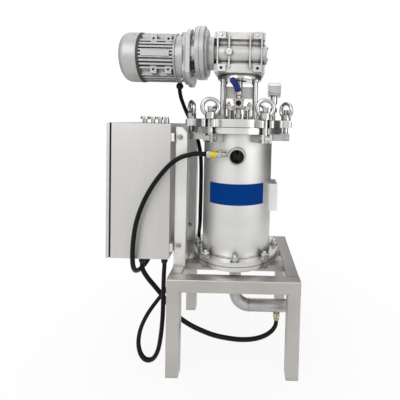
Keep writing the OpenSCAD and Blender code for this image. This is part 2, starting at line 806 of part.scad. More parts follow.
module fan_cover() {
  wall = 2.5;
  slots = 16;
  slot_from = 26;
  round = 28;
  color(paint) on_motor_axis(x_fan) difference() {
    rotate_extrude() difference() {
      union() {
        translate([0, round]) square([motor_d / 2, fan_cover_len - round]);
        square([motor_d / 2 - round, fan_cover_len]);
        translate([motor_d / 2 - round, round]) intersection() {
          circle(r = round);
          translate([0, -round]) square(round);
        }
      }
      translate([0, round]) square([motor_d / 2 - wall, fan_cover_len]);
      translate([0, wall]) square([motor_d / 2 - round, fan_cover_len]);
      translate([motor_d / 2 - round, round]) intersection() {
        circle(r = round - wall);
        translate([0, -round]) square(round);
      }
    }
    for (i = [0:slots - 1]) rotate([0, 0, i * 360 / slots]) translate([slot_from, -3, -1])
      cube([motor_d / 2 - round - slot_from - 4, 6, wall + 2]);
  }
}

// Terminal box on the back of the motor, with its cable gland pointing down
module terminal_box() {
  box = [92, 50, terminal_h];
  color(paint) translate([terminal_at[0] - box[0] / 2 - 14, -worm_offset + stator_d / 2 - 6, z_motor -
    box[2] / 2]) difference() {
    cube(box);
    translate([-1, -1, -1]) intersection() {
      cube(box + [2, 2, 2]);
      translate([-1, -stator_d / 2 + 7, box[2] / 2 + 1]) rotate([0, 90, 0]) cylinder(d = motor_d + 1, h =
        box[0] + 4);
    }
  }
}

module motor_stator() {
  inset = 18;
  color([0.35, 0.3, 0.25]) on_motor_axis(x_motor + inset) ring(stator_d, rotor_d + 2, motor_len - 2 *
    inset);
}

// Pressure gauge: case with its stem, dial, glass and pointer, facing right

module at_gauge(x = 0) {
  translate([gauge_at[0] + x, gauge_at[1], gauge_at[2]]) rotate([0, 90, 0]) children();
}

module gauge_case() {
  boss_h = 32;
  color(machined) {
    at_gauge() difference() {
      cylinder(d = gauge_d, h = gauge_t);
      translate([0, 0, gauge_t - 22]) cylinder(d = gauge_d - 10, h = 23);
    }
    translate([gauge_at[0] + gauge_t / 2, gauge_at[1], z_cover_top]) {
      difference() {
        cylinder(d = 15, h = gauge_at[2] - z_cover_top - gauge_d / 2 + 2);
        translate([0, 0, -1]) cylinder(d = 6, h = 40);
      }
      translate([0, 0, 34]) hexagon(24, 18);
      translate([0, 0, gauge_at[2] - z_cover_top - gauge_d / 2 - boss_h + 2]) cylinder(d = 28, h = boss_h);
    }
  }
}

module gauge_dial() {
  color("white") at_gauge(gauge_t - 22) difference() {
    cylinder(d = gauge_d - 10, h = 2);
    translate([0, 0, -1]) cylinder(d = 8, h = 4);
  }
}

module gauge_glass() {
  color([0.85, 0.9, 0.92]) at_gauge(gauge_t - 5) cylinder(d = gauge_d - 10, h = 3);
}

module gauge_pointer() {
  color(black) at_gauge(gauge_t - 22) {
    translate([0, 0, body_gap]) cylinder(d = 8 - 2 * running_gap, h = 10);
    translate([0, 0, 6]) rotate([0, 0, 45]) translate([-9, -1.2, 0]) cube([30, 2.4, 2]);
  }
}

// Vent valve on the cover and its lever

module vent_valve() {
  body_d = 34;
  port_front = 34;
  color(machined) translate([0, valve_y, valve_z]) difference() {
    union() {
      translate([0, 0, z_cover_top - valve_z]) cylinder(d = 17, h = valve_z - z_cover_top);
      translate([0, 0, z_cover_top - valve_z + 6]) hexagon(24, 14);
      translate([0, 0, -18]) cylinder(d = body_d, h = 36);
      rotate([90, 0, 0]) cylinder(d = 30, h = port_front - 10);
      translate([0, -port_front + 12, 0]) rotate([90, 0, 0]) hexagon(34, 12);
      translate([0, 0, 17]) cylinder(d = 17, h = 8);
    }
    translate([0, 0, z_cover_top - valve_z - 1]) cylinder(d = 10, h = valve_z - z_cover_top);
    rotate([90, 0, 0]) cylinder(d = 10, h = port_front + 1);
    translate([0, -port_front + vent_depth, 0]) rotate([90, 0, 0]) cylinder(d = vent_bore, h = vent_depth
      + 1);
    sphere(d = 24 + 2 * body_gap);
    cylinder(d = 9 + 2 * running_gap, h = 40);
  }
}

// Ball, stem, nut and the flat lever with its sleeve
module valve_lever() {
  rise = [-34, -12, 52];
  foot = [-6, -9, 4];
  sleeve = 20;
  color([0.05, 0.15, 0.5]) translate([0, valve_y, valve_z]) {
    difference() {
      sphere(d = 24);
      rotate([90, 0, 0]) cylinder(d = 10, h = 20);
      translate([0, 0, -20]) cylinder(d = 10, h = 20);
    }
    cylinder(d = 9, h = stem_top + 10);
    translate([0, 0, stem_top - 1]) hexagon(14, 8);
    hull() {
      translate([0, 0, stem_top - 5]) cylinder(d = 16, h = 4, $fn = 24);
      translate(foot + [0, 0, stem_top - 5]) cylinder(d = 14, h = 4, $fn = 24);
    }
    hull() {
      translate(foot + [0, 0, stem_top - 5]) cylinder(d = 14, h = 4, $fn = 24);
      translate(0.4 * rise + [0, 0, stem_top]) sphere(d = 14, $fn = 24);
    }
    hull() {
      translate(0.38 * rise + [0, 0, stem_top]) sphere(d = 0.8 * sleeve, $fn = 24);
      translate(rise + [0, 0, stem_top + 4]) sphere(d = sleeve, $fn = 24);
    }
  }
}

// Cabinet

module cabinet_box() {
  lip = 16;
  width = cab_back - box_left;
  color(paint) difference() {
    translate([box_left, cab_front, cab_z]) cube([width, cabinet_d, cabinet_h]);
    translate([box_left + sheet, cab_front + sheet, cab_z + sheet]) cube([width - 2 * sheet, cabinet_d -
      2 * sheet, cabinet_h - 2 * sheet]);
    translate([box_left - 1, cab_front + lip, cab_z + lip]) cube([sheet + 2, cabinet_d - 2 * lip,
      cabinet_h - 2 * lip]);
    for (g = [upper_gland, lower_gland, motor_gland]) translate([g[0], g[1], cab_z - 1]) cylinder(d = 16,
      h = sheet + 2);
  }
}

// Two flat rails behind the cabinet with their bolts into the posts
module cabinet_rails() {
  rail_h = 30;
  depth = cab_back - post_x + tube_w / 2;
  color(steel) for (z = rail_z) {
    translate([cab_back, cab_front + 4, z - rail_h / 2]) cube([-depth, cabinet_d - 8, rail_h]);
    for (y = post_y) translate([post_x - 4, y - tube_w / 2, z]) rotate([90, 0, 0]) hexagon(13, 7);
  }
}

// Fixed hinge halves with their pins
module cabinet_hinges() {
  color(machined) for (z = hinge_z) {
    translate([hinge_at[0], hinge_at[1], z]) {
      for (k = [0, 2]) translate([0, 0, k * knuckle_h + (k == 0 ? 0 : 1)]) cylinder(d = 10, h = knuckle_h
        - 1);
      cylinder(d = hinge_pin_d, h = 3 * knuckle_h);
      for (k = [0, 2]) translate([0, -6, k * knuckle_h + (k == 0 ? 0 : 1)]) cube([24, 4, knuckle_h - 1]);
    }
    translate([hinge_at[0] + 10, cab_rear, z]) cube([14, 4, 3 * knuckle_h]);
  }
}

// Mounting plate with the switchgear, rail and terminals on it
module control_gear() {
  plate_x = cab_back - 14;
  color([0.75, 0.76, 0.77]) {
    translate([plate_x, cab_front + 20, cab_z + 30]) cube([3, cabinet_d - 40, cabinet_h - 60]);
    for (y = [40, cabinet_d - 50], z = [50, cabinet_h - 60]) translate([plate_x + 3, cab_front + y, cab_z
      + z])
      cube([cab_back - sheet - plate_x - 3, 10, 10]);
    for (z = [110, 250, 380]) translate([plate_x - 7.5, cab_front + 30, cab_z + z]) cube([7.5, cabinet_d
      - 60, 35]);
    for (i = [0:3]) translate([plate_x - 87.5, cab_front + 40 + i * 58, cab_z + 360]) cube([80, 45, 78]);
    for (i = [0:2]) translate([plate_x - 107.5, cab_front + 44 + i * 74, cab_z + 226]) cube([100, 60, 88]);
    translate([plate_x - 55.5, cab_front + 40, cab_z + 100]) cube([48, cabinet_d - 90, 52]);
  }
}

// Metal fittings on top of the cabinet: a latch bar between two studs, and two more studs beside it
module cabinet_fittings() {
  row_y = cab_front + 26;
  studs = [[-102, 17, 32], [-72, 15, 24], [-46, 15, 22], [-22, 20, 16]];
  color(machined) translate([cab_back, row_y, cab_top]) {
    for (s = studs) translate([s[0], 0, 0]) {
      cylinder(d = s[1], h = 16);
      translate([0, 0, 15]) cylinder(d = s[2], h = 10);
    }
    translate([studs[1][0], -4, 18]) cube([studs[2][0] - studs[1][0], 8, 7]);
  }
}

module gland(d, length) {
  nut = 6;
  translate([0, 0, -nut]) hexagon(d + 9, nut);
  translate([0, 0, -0.7 * length]) cylinder(d = d + 7, h = 0.7 * length);
  translate([0, 0, -length]) cylinder(d = d + 3, h = length);
}

// Cable and hose glands under the cabinet, and the one under the motor's terminal box
module cable_glands() {
  color(black) {
    translate([upper_gland[0], upper_gland[1], cab_z]) gland(hose_d, short_gland);
    translate([lower_gland[0], lower_gland[1], cab_z]) gland(hose_d, gland_len);
    translate([motor_gland[0], motor_gland[1], cab_z]) gland(cable_d, gland_len);
    translate([terminal_at[0], terminal_at[1], terminal_z]) {
      cylinder(d = cable_d + 12, h = 26);
      cylinder(d = cable_d + 2, h = z_motor - terminal_h / 2 - terminal_z);
    }
  }
}

// Brass nut and ferrule from a tap to a hose, drawn along -Z
module hose_fitting() {
  translate([0, 0, -13]) cylinder(d = 18, h = 13);
  translate([0, 0, -24]) hexagon(24, 12);
  translate([0, 0, -53]) cylinder(d = 23, h = 30);
  translate([0, 0, -64]) cylinder(d = 21, h = 12);
}

module hose_fittings() {
  color(brass) {
    translate([tap_x, tap_y, tap_z]) rotate([0, 90, 0]) hose_fitting();
    translate([outlet_tap_x, 0, outlet_tap_z]) {
      translate([0, 0, -18]) hexagon(24, 18);
      translate([0, 0, -30]) cylinder(d = 21, h = 13);
    }
  }
}

module upper_hose() {
  color(black) swept_tube(upper_route, hose_d);
}

module lower_hose() {
  color(black) swept_tube(lower_route, hose_d);
}

module motor_cable() {
  color(black) swept_tube(motor_route, cable_d, 8);
}

// Gear of the stage, drawn along Z with its gaps cut into the pitch circle
module gear(r, w, teeth) {
  gap = PI * r / teeth;
  difference() {
    cylinder(r = r, h = w);
    for (i = [0:teeth - 1]) rotate([0, 0, i * 360 / teeth]) translate([r - gap, -gap / 2, -1]) cube([2 *
      gap, gap, w + 2]);
  }
}

// Turning shaft with the scraper and the worm wheel

module drive_shaft() {
  foot_z = z_shell + 19;
  color(steel) translate([0, 0, foot_z]) cylinder(d = shaft_d, h = z_gearbox_top - foot_z);
}

// Arms and the two full-height blades that sweep the screen's inside
module scraper() {
  reach = screen_d / 2 - screen_wall - blade_gap;
  levels = 4;
  blade_z = z_screen + 22;
  blade_h = screen_h - 44;
  color([0.85, 0.85, 0.82]) difference() {
    for (s = [0, 180]) rotate([0, 0, s]) {
      translate([reach - 22, -3, blade_z]) cube([22, 6, blade_h]);
      for (i = [0:levels - 1]) translate([0, -6, blade_z + 20 + i * (blade_h - 60) / (levels - 1)]) {
        cube([reach - 16, 12, 20]);
        translate([0, 6, 0]) cylinder(d = shaft_d + 14, h = 20);
      }
    }
    translate([0, 0, z_shell]) cylinder(d = shaft_d, h = shell_len);
  }
}

module worm_wheel() {
  teeth = 40;
  rim_h = 40;
  color(brass) difference() {
    union() {
      translate([0, 0, z_worm - rim_h / 2]) cylinder(r = wheel_r, h = rim_h);
      translate([0, 0, z_gearbox + 0.5]) cylinder(d = hub_d, h = gearbox_h - 1);
    }
    translate([0, 0, z_gearbox]) cylinder(d = shaft_d, h = gearbox_h);
    for (i = [0:teeth - 1]) rotate([0, 0, i * 360 / teeth]) translate([wheel_r - 5, 0, z_worm])
      rotate([8, 0, 0])
      translate([0, -2, -rim_h]) cube([10, 4, 2 * rim_h]);
  }
}

// Motor shaft with the rotor core and its pinion
module motor_rotor() {
  fan_end = 42;
  core_inset = 24;
  teeth = 16;
  color(steel) {
    on_motor_axis(x_motor - fan_end) cylinder(d = motor_shaft_d, h = x_gears - 5 - x_motor + fan_end);
    on_motor_axis(x_motor + core_inset) cylinder(d = rotor_d, h = motor_len - 2 * core_inset);
    on_motor_axis(x_gears - 6) gear(pinion_r, gear_w + 5, teeth);
  }
}

module cooling_fan() {
  blades = 8;
  fan_r = motor_d / 2 - 16;
  color(black) on_motor_axis(x_motor - 40) difference() {
    union() {
      cylinder(d = 50, h = 24);
      cylinder(r = fan_r - 6, h = 3);
      for (i = [0:blades - 1]) rotate([0, 0, i * 360 / blades]) translate([20, -1.5, 0]) cube([fan_r -
        20, 3, 24]);
    }
    translate([0, 0, -1]) cylinder(d = 25, h = 30);
  }
}

module worm_shaft() {
  pitch = 12;
  teeth = 24;
  color(steel) {
    on_worm_axis(x_gears) gear(stage_gear_r, gear_w, teeth);
    on_worm_axis(x_gears + gear_w - 1) cylinder(d = motor_shaft_d, h = x_gearbox + gearbox_w - x_gears -
      gear_w - 1);
    on_worm_axis(-36) difference() {
      cylinder(r = worm_r, h = 72);
      for (i = [0:5]) translate([0, 0, i * pitch + 4]) ring(2 * worm_r + 4, 2 * worm_r - 10, 5);
    }
  }
}

// Door with its hinge knuckles and the seal around its inside, and its lock

module cabinet_door() {
  door_left = cab_left;
  depth = door_t - sheet;
  color(paint) difference() {
    union() {
      translate([door_left, cab_front, cab_z]) difference() {
        cube([door_t, cabinet_d, cabinet_h]);
        translate([sheet, sheet, sheet]) cube([door_t, cabinet_d - 2 * sheet, cabinet_h - 2 * sheet]);
      }
      for (z = hinge_z) translate([hinge_at[0], hinge_at[1], z + knuckle_h]) {
        cylinder(d = 10, h = knuckle_h);
        translate([-10, -8, 0]) cube([10, 8, knuckle_h]);
      }
    }
    for (z = hinge_z) translate([hinge_at[0], hinge_at[1], z]) cylinder(d = hinge_pin_d + 2 *
      running_gap, h = 3 * knuckle_h);
    translate([door_left - 1, lock_at[0], lock_at[1]]) rotate([0, 90, 0]) cylinder(d = lock_d + 2 *
      running_gap, h = depth);
  }
}

module door_lock() {
  color(black) translate([cab_left, lock_at[0], lock_at[1]]) rotate([0, 90, 0]) {
    difference() {
      translate([0, 0, -6]) cylinder(d = 28, h = 5.5);
      translate([-10, -1.5, -7]) cube([20, 3, 4]);
    }
    translate([0, 0, -1]) cylinder(d = lock_d, h = 10);
    translate([-6, -22, 6]) cube([12, 22, 3]);
  }
}

// One swing bolt with its eye nut: the bolt's eye turns on the lug's pin
module swing_bolt(i) {
  eye_end = 30;
  stud_end = eye_z + 3;
  collar = 22;
  color(machined) around(bolt_angles[i]) translate([0, -bolt_circle_r, 0]) {
    difference() {
      union() {
        translate([-bolt_d / 2, 0, pin_z]) rotate([0, 90, 0]) cylinder(d = eye_end, h = bolt_d);
        translate([0, 0, pin_z]) cylinder(d = bolt_d, h = stud_end - pin_z);
      }
      translate([-bolt_d, 0, pin_z]) rotate([0, 90, 0]) cylinder(d = pin_d + 2 * running_gap, h = 2 *
        bolt_d);
    }
    rotate([0, 0, eye_turn[i]]) difference() {
      union() {
        translate([0, 0, nut_base_z]) cylinder(d = 38, h = collar);
        translate([0, 0, eye_z]) rotate([90, 0, 0]) rotate_extrude() translate([(eye_d - eye_wire) / 2,
          0]) circle(d = eye_wire);
      }
      translate([0, 0, nut_base_z - 1]) cylinder(d = bolt_d + 0.1, h = eye_z - nut_base_z);
    }
  }
}

stand_legs();
stand_beams();
support_bars();
cabinet_posts();
vessel_shell();
body_flange();
lower_flange();
bottom_plate();
flange_bolts();
gaskets();
outlet_pipe();
inlet_port();
swing_lugs();
cover();
filter_screen();
bottom_bearing();
nameplate_bracket();
lantern();
drive_flange();
seal_housing();
gland_follower();
gearbox_housing();
gearbox_caps();
bearings();
stage_housing();
motor_frame();
motor_shields();
fan_cover();
terminal_box();
motor_stator();
gauge_case();
gauge_dial();
gauge_glass();
vent_valve();
cabinet_box();
cabinet_rails();
cabinet_hinges();
control_gear();
cabinet_fittings();
cable_glands();
hose_fittings();
upper_hose();
lower_hose();
motor_cable();
drive_shaft();
scraper();
worm_wheel();
motor_rotor();
cooling_fan();
worm_shaft();
valve_lever();
cabinet_door();
door_lock();
gauge_pointer();
swing_bolt(0);  // swing_bolt_1
swing_bolt(1);  // swing_bolt_2
swing_bolt(2);  // swing_bolt_3
swing_bolt(3);  // swing_bolt_4
swing_bolt(4);  // swing_bolt_5
swing_bolt(5);  // swing_bolt_6
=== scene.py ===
"""Dresses the scraper filter on its stand: camera, light, cords, finishes and fine pieces."""

from __future__ import annotations

import logging
import math
from dataclasses import dataclass, replace
from enum import Enum

import bmesh
import bpy
import numpy as np
from mathutils import Matrix, Vector

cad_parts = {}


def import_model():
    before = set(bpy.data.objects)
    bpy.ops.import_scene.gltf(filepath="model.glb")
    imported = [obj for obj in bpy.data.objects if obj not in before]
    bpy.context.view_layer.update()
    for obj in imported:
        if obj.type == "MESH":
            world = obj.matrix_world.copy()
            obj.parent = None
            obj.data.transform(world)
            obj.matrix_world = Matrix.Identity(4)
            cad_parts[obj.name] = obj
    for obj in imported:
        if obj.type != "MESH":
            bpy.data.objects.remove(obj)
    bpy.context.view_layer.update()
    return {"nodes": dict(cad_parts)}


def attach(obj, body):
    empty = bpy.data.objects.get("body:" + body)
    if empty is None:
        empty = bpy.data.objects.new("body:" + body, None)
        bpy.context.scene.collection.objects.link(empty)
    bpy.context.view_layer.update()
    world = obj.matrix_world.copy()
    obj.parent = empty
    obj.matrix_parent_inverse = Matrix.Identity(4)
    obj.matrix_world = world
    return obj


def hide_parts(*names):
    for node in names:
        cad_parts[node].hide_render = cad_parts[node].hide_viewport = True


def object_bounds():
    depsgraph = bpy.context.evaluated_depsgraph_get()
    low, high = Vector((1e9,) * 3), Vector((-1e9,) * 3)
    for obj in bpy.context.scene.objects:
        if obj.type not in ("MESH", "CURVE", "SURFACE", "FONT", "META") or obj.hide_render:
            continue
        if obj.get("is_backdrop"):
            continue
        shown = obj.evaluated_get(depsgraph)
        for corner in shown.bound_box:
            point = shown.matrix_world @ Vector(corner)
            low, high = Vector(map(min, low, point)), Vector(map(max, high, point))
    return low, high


LOG = logging.getLogger("filter_scene")
MM = 0.001
TAU = 2.0 * math.pi
FRAME = "frame"
LEVER = "valve_lever"

Triple = tuple[float, float, float]
Pair = tuple[float, float]
Basis = list[Triple]
Angles = np.ndarray | tuple[float, ...]
Socket = bpy.types.NodeSocket

ORIGIN: Triple = (0.0, 0.0, 0.0)
UP: Triple = (0.0, 0.0, 1.0)
DOWN: Triple = (0.0, 0.0, -1.0)
LEFT: Triple = (-1.0, 0.0, 0.0)
RIGHT: Triple = (1.0, 0.0, 0.0)
FRONT: Triple = (0.0, -1.0, 0.0)
BACK: Triple = (0.0, 1.0, 0.0)


# Node trees and shader groups


@dataclass
class Web:
    """A node tree to which nodes are added one call at a time."""

    tree: bpy.types.NodeTree

    def add(self, kind: str, inputs: dict | None = None, **settings: object) -> bpy.types.Node:
        """Adds a node, sets it and fills its inputs.

        Args:
            kind: Type of the node, less the words that all types start with.
            inputs: Values or sockets by the input's name or number.
            settings: Settings of the node by name.

        Returns:
            The new node.
        """
        node = self.tree.nodes.new("ShaderNode" + kind)
        for label, value in settings.items():
            setattr(node, label, value)
        self.fill(node, inputs or {})
        return node

    def fill(self, node: bpy.types.Node, inputs: dict) -> None:
        """Sets or joins inputs of a node.

        Args:
            node: The node.
            inputs: Values or sockets by the input's name or number.
        """
        for label, value in inputs.items():
            if isinstance(value, Socket):
                self.tree.links.new(value, node.inputs[label])
            else:
                node.inputs[label].default_value = value


class Group(Enum):
    """The shader groups."""

    GRAIN = "grain"
    TURNED = "turned"
    # Edges painted lighter, partly as real wear and partly as highlight.
    WEAR_AND_HIGHLIGHT = "wear"
    DUST = "dust"
    # Painted shade: recesses and joins between parts darkened by ambient occlusion.
    PAINTED_SHADE = "grime"


class GroupKit:
    """Builds the shader node groups once and hands them to the materials."""

    NUMBER = "NodeSocketFloat"
    PLACE = "NodeSocketVector"
    # Radius of the rounded normal that finds the edges that are painted lighter.
    EDGE_RADIUS = 0.0022
    PAINTED_SHADE_REACH = 0.014
    # Value where a mask is nought, value where it is one, and noise scale of its patches
    RANGES = {Group.WEAR_AND_HIGHLIGHT: (0.99, 0.80, 60.0), Group.DUST: (0.2, 1.0, 28.0), Group.PAINTED_SHADE: (0.95, 0.35, 45.0)}

    _made: dict[Group, bpy.types.NodeTree] = {}

    @classmethod
    def get(cls, kind: Group) -> bpy.types.NodeTree:
        """A group, made on first use.

        Args:
            kind: Which group.

        Returns:
            The group.
        """
        if kind not in cls._made:
            make = {Group.GRAIN: cls._grain, Group.TURNED: cls._turned}.get(kind, cls._mask)
            cls._made[kind] = make(kind)
        return cls._made[kind]

    @staticmethod
    def _start(kind: Group, inputs: dict[str, str],
               outputs: dict[str, str]) -> tuple[Web, bpy.types.NodeOutputs, bpy.types.Node]:
        """Makes an empty group.

        Args:
            kind: Which group.
            inputs: Socket types by input name.
            outputs: Socket types by output name.

        Returns:
            The group's web, the sockets that it is given and its output node.
        """
        group = bpy.data.node_groups.new(kind.value, "ShaderNodeTree")
        for way, sockets in (("INPUT", inputs), ("OUTPUT", outputs)):
            for label, socket in sockets.items():
                group.interface.new_socket(label, in_out=way, socket_type=socket)
        return Web(group), group.nodes.new("NodeGroupInput").outputs, group.nodes.new("NodeGroupOutput")

    @classmethod
    def _grain(cls, kind: Group) -> bpy.types.NodeTree:
        """Two layers of noise in one space, fine and broad, as masks around one half.

        Args:
            kind: Which group.

        Returns:
            The group.
        """
        scales = {"Fine": cls.NUMBER, "Broad": cls.NUMBER}
        web, given, end = cls._start(kind, {"Vector": cls.PLACE, **scales}, scales)
        for label, detail in (("Fine", 3.0), ("Broad", 2.0)):
            space = {"Vector": given["Vector"], "Scale": given[label], "Detail": detail}
            web.fill(end, {label: web.add("TexNoise", space).outputs["Fac"]})
        return web.tree

    @classmethod
    def _turned(cls, kind: Group) -> bpy.types.NodeTree:
        """Turns a place into its distance from the Z axis and its height, so that noise makes rings.

        Args:
            kind: Which group.

        Returns:
            The group.
        """
        ends = {"Vector": cls.PLACE}
        web, given, end = cls._start(kind, ends, ends)
        flat = web.add("VectorMath", {0: given[0], 1: (1.0, 1.0, 0.0)}, operation="MULTIPLY")
        length = web.add("VectorMath", {0: flat.outputs[0]}, operation="LENGTH")
        apart = web.add("SeparateXYZ", {0: given[0]})
        join = web.add("CombineXYZ", {"X": length.outputs["Value"], "Z": apart.outputs["Z"]})
        web.fill(end, {0: join.outputs[0]})
        return web.tree

    @classmethod
    def _mask(cls, kind: Group) -> bpy.types.NodeTree:
        """A mask broken up by noise.

        Edges are painted lighter, partly as wear and partly as highlight, where a rounded normal departs
        from the face's own; dust lies by the normal's upward part; and shade is painted into recesses by
        ambient occlusion.

        Args:
            kind: Which mask.

        Returns:
            The group, with a mask from nought to one.
        """
        web, given, end = cls._start(kind, {"Vector": cls.PLACE, "Amount": cls.NUMBER}, {"Mask": cls.NUMBER})
        if kind is Group.WEAR_AND_HIGHLIGHT:
            # Edges painted lighter, partly wear and partly painted highlight.
            rounded = web.add("Bevel", {"Radius": cls.EDGE_RADIUS}, samples=4).outputs[0]
            both = {0: rounded, 1: web.add("NewGeometry").outputs["Normal"]}
            found = web.add("VectorMath", both, operation="DOT_PRODUCT").outputs["Value"]
        elif kind is Group.DUST:
            found = web.add("SeparateXYZ", {0: web.add("NewGeometry").outputs["Normal"]}).outputs["Z"]
        else:
            # Painted shade: the more a point is occluded, the more dark colour it gets.
            found = web.add("AmbientOcclusion", {"Distance": cls.PAINTED_SHADE_REACH}, samples=6).outputs["AO"]
        low, high, scale = cls.RANGES[kind]
        spread = web.add("MapRange", {"Value": found, "From Min": low, "From Max": high})
        noise = web.add("TexNoise", {"Vector": given["Vector"], "Scale": scale, "Detail": 4.0})
        times = web.add("Math", {0: spread.outputs[0], 1: noise.outputs["Fac"]}, operation="MULTIPLY")
        scaled = {0: times.outputs[0], 1: given["Amount"]}
        web.fill(end, {"Mask": web.add("Math", scaled, operation="MULTIPLY", use_clamp=True).outputs[0]})
        return web.tree


# Finishes


class Pattern(Enum):
    """How the fine grain of a finish lies on the surface."""

    STRAIGHT = "straight"
    TURNED = "turned"


@dataclass(frozen=True)
class Grain:
    """The pattern of a finish.

    Attributes:
        fine: Noise scale of the grain.
        broad: Noise scale of the clouds.
        tone: Change of tone by the grain.
        cloud: Change of tone by the clouds.
        gloss: Change of roughness by the clouds.
        bump: Height of the grain in metres.
        stretch: Scale of the grain's space.
        pattern: How the grain lies.
    """

    fine: float = 300.0
    broad: float = 6.0
    tone: float = 0.06
    cloud: float = 0.06
    gloss: float = 0.08
    bump: float = 1e-4
    stretch: Triple = (1.0, 1.0, 1.0)
    pattern: Pattern = Pattern.STRAIGHT


# Dark colour painted into recesses as shade.
PAINTED_SHADE_COLOUR: Triple = (0.055, 0.05, 0.045)
DUST_COLOUR: Triple = (0.70, 0.69, 0.66)


@dataclass(frozen=True)
class Finish:
    """A procedural finish: a material slot's colour and grain, with amounts of lighter edges (partly wear,
    partly painted highlight), dust and painted shade in recesses.
    """

    name: str
    slot: str
    colour: Triple
    metallic: float
    roughness: float
    grain: Grain = Grain()
    # Amount and colour of lighter edges, partly wear and partly painted highlight.
    wear: float = 0.0
    worn_and_highlight: Triple = (0.78, 0.78, 0.77)
    dust: float = 0.0
    # Amount of shade painted into recesses.
    grime: float = 0.0
    coat: float = 0.0
    specular: float = 0.5
    transmission: float = 0.0

    def material(self) -> bpy.types.Material:
        """The material of this finish, made on first use.

        Returns:
            The material.
        """
        known = bpy.data.materials.get(self.name)
        if known:
            return known
        made = bpy.data.materials.new(self.name)
        made.use_nodes = True
        web = Web(made.node_tree)
        shader = web.tree.nodes["Principled BSDF"]
        web.fill(shader, {"Metallic": self.metallic, "Specular IOR Level": self.specular,
                          "Coat Weight": self.coat, "Transmission Weight": self.transmission})
        if self.transmission > 0.0:
            web.fill(shader, {"Base Color": (*self.colour, 1.0), "Roughness": self.roughness})
        else:
            web.fill(shader, self._surface(web))
        return made

    def _surface(self, web: Web) -> dict[str, Socket]:
        """Adds the grain and the layers over it, which feed colour, roughness and normal.

        Args:
            web: Node tree of the material.

        Returns:
            The sockets by the shader's input.
        """
        grain = self.grain
        place = web.add("TexCoord").outputs["Object"]
        lie = place
        if grain.pattern is Pattern.TURNED:
            lie = web.add("Group", {0: place}, node_tree=GroupKit.get(Group.TURNED)).outputs[0]
        space = web.add("Mapping", {"Vector": lie, "Scale": grain.stretch}).outputs[0]
        scales = {"Vector": space, "Fine": grain.fine, "Broad": grain.broad}
        noise = web.add("Group", scales, node_tree=GroupKit.get(Group.GRAIN)).outputs
        colour = self.colour
        for label, amount in (("Fine", grain.tone), ("Broad", grain.cloud)):
            scale = self._spread(web, noise[label], 1.0, 2.0 * amount)
            colour = web.add("VectorMath", {0: colour, "Scale": scale}, operation="SCALE").outputs[0]
        # Layers: painted shade in recesses, edges painted lighter partly as wear and partly as highlight,
        # then dust.
        layers = ((Group.PAINTED_SHADE, self.grime, PAINTED_SHADE_COLOUR), (Group.WEAR_AND_HIGHLIGHT, self.wear, self.worn_and_highlight),
                  (Group.DUST, self.dust, DUST_COLOUR))
        for kind, amount, over in layers:
            if amount > 0.0:
                mask = web.add("Group", {"Vector": place, "Amount": amount}, node_tree=GroupKit.get(kind))
                mix = {"Factor": mask.outputs["Mask"], "A": colour, "B": (*over, 1.0)}
                colour = web.add("Mix", mix, data_type="RGBA").outputs["Result"]
        rough = self._spread(web, noise["Broad"], self.roughness, grain.gloss)
        bump = web.add("Bump", {"Height": noise["Fine"], "Distance": grain.bump, "Strength": 1.0})
        return {"Base Color": colour, "Roughness": rough, "Normal": bump.outputs[0]}

    @staticmethod
    def _spread(web: Web, mask: Socket, middle: float, amount: float) -> Socket:
        """Maps a mask around one half to a value that departs from a middle by an amount."""
        ends = {"From Min": 0.25, "From Max": 0.75, "To Min": middle - amount, "To Max": middle + amount}
        return web.add("MapRange", {"Value": mask, **ends}).outputs[0]


# Meshes from arrays


@dataclass
class Patch:
    """A grid surface: places as rows by columns in metres, whose last column may join the first."""

    points: np.ndarray
    wrap: bool = True

    def faces(self, first: int) -> np.ndarray:
        """Quads between neighbouring rows and columns.

        Args:
            first: Index of the patch's first vertex.

        Returns:
            Four indices for each face.
        """
        rows, columns = self.points.shape[:2]
        index = first + np.arange(rows * columns).reshape(rows, columns)
        right = np.roll(index, -1, axis=1) if self.wrap else index[:, 1:]
        left = index if self.wrap else index[:, :-1]
        return np.stack([left[:-1], right[:-1], right[1:], left[1:]], axis=-1).reshape(-1, 4)

    @staticmethod
    def join(name: str, patches: list[Patch]) -> bpy.types.Mesh:
        """Puts patches into one mesh.

        Args:
            name: Name of the mesh.
            patches: The surfaces.

        Returns:
            The mesh.
        """
        starts = np.cumsum([0] + [patch.points.size // 3 for patch in patches])
        points = np.concatenate([patch.points.reshape(-1, 3) for patch in patches])
        faces = np.concatenate([patch.faces(int(first)) for patch, first in zip(patches, starts)])
        mesh = bpy.data.meshes.new(name)
        mesh.from_pydata(points.tolist(), [], faces.tolist())
        return mesh


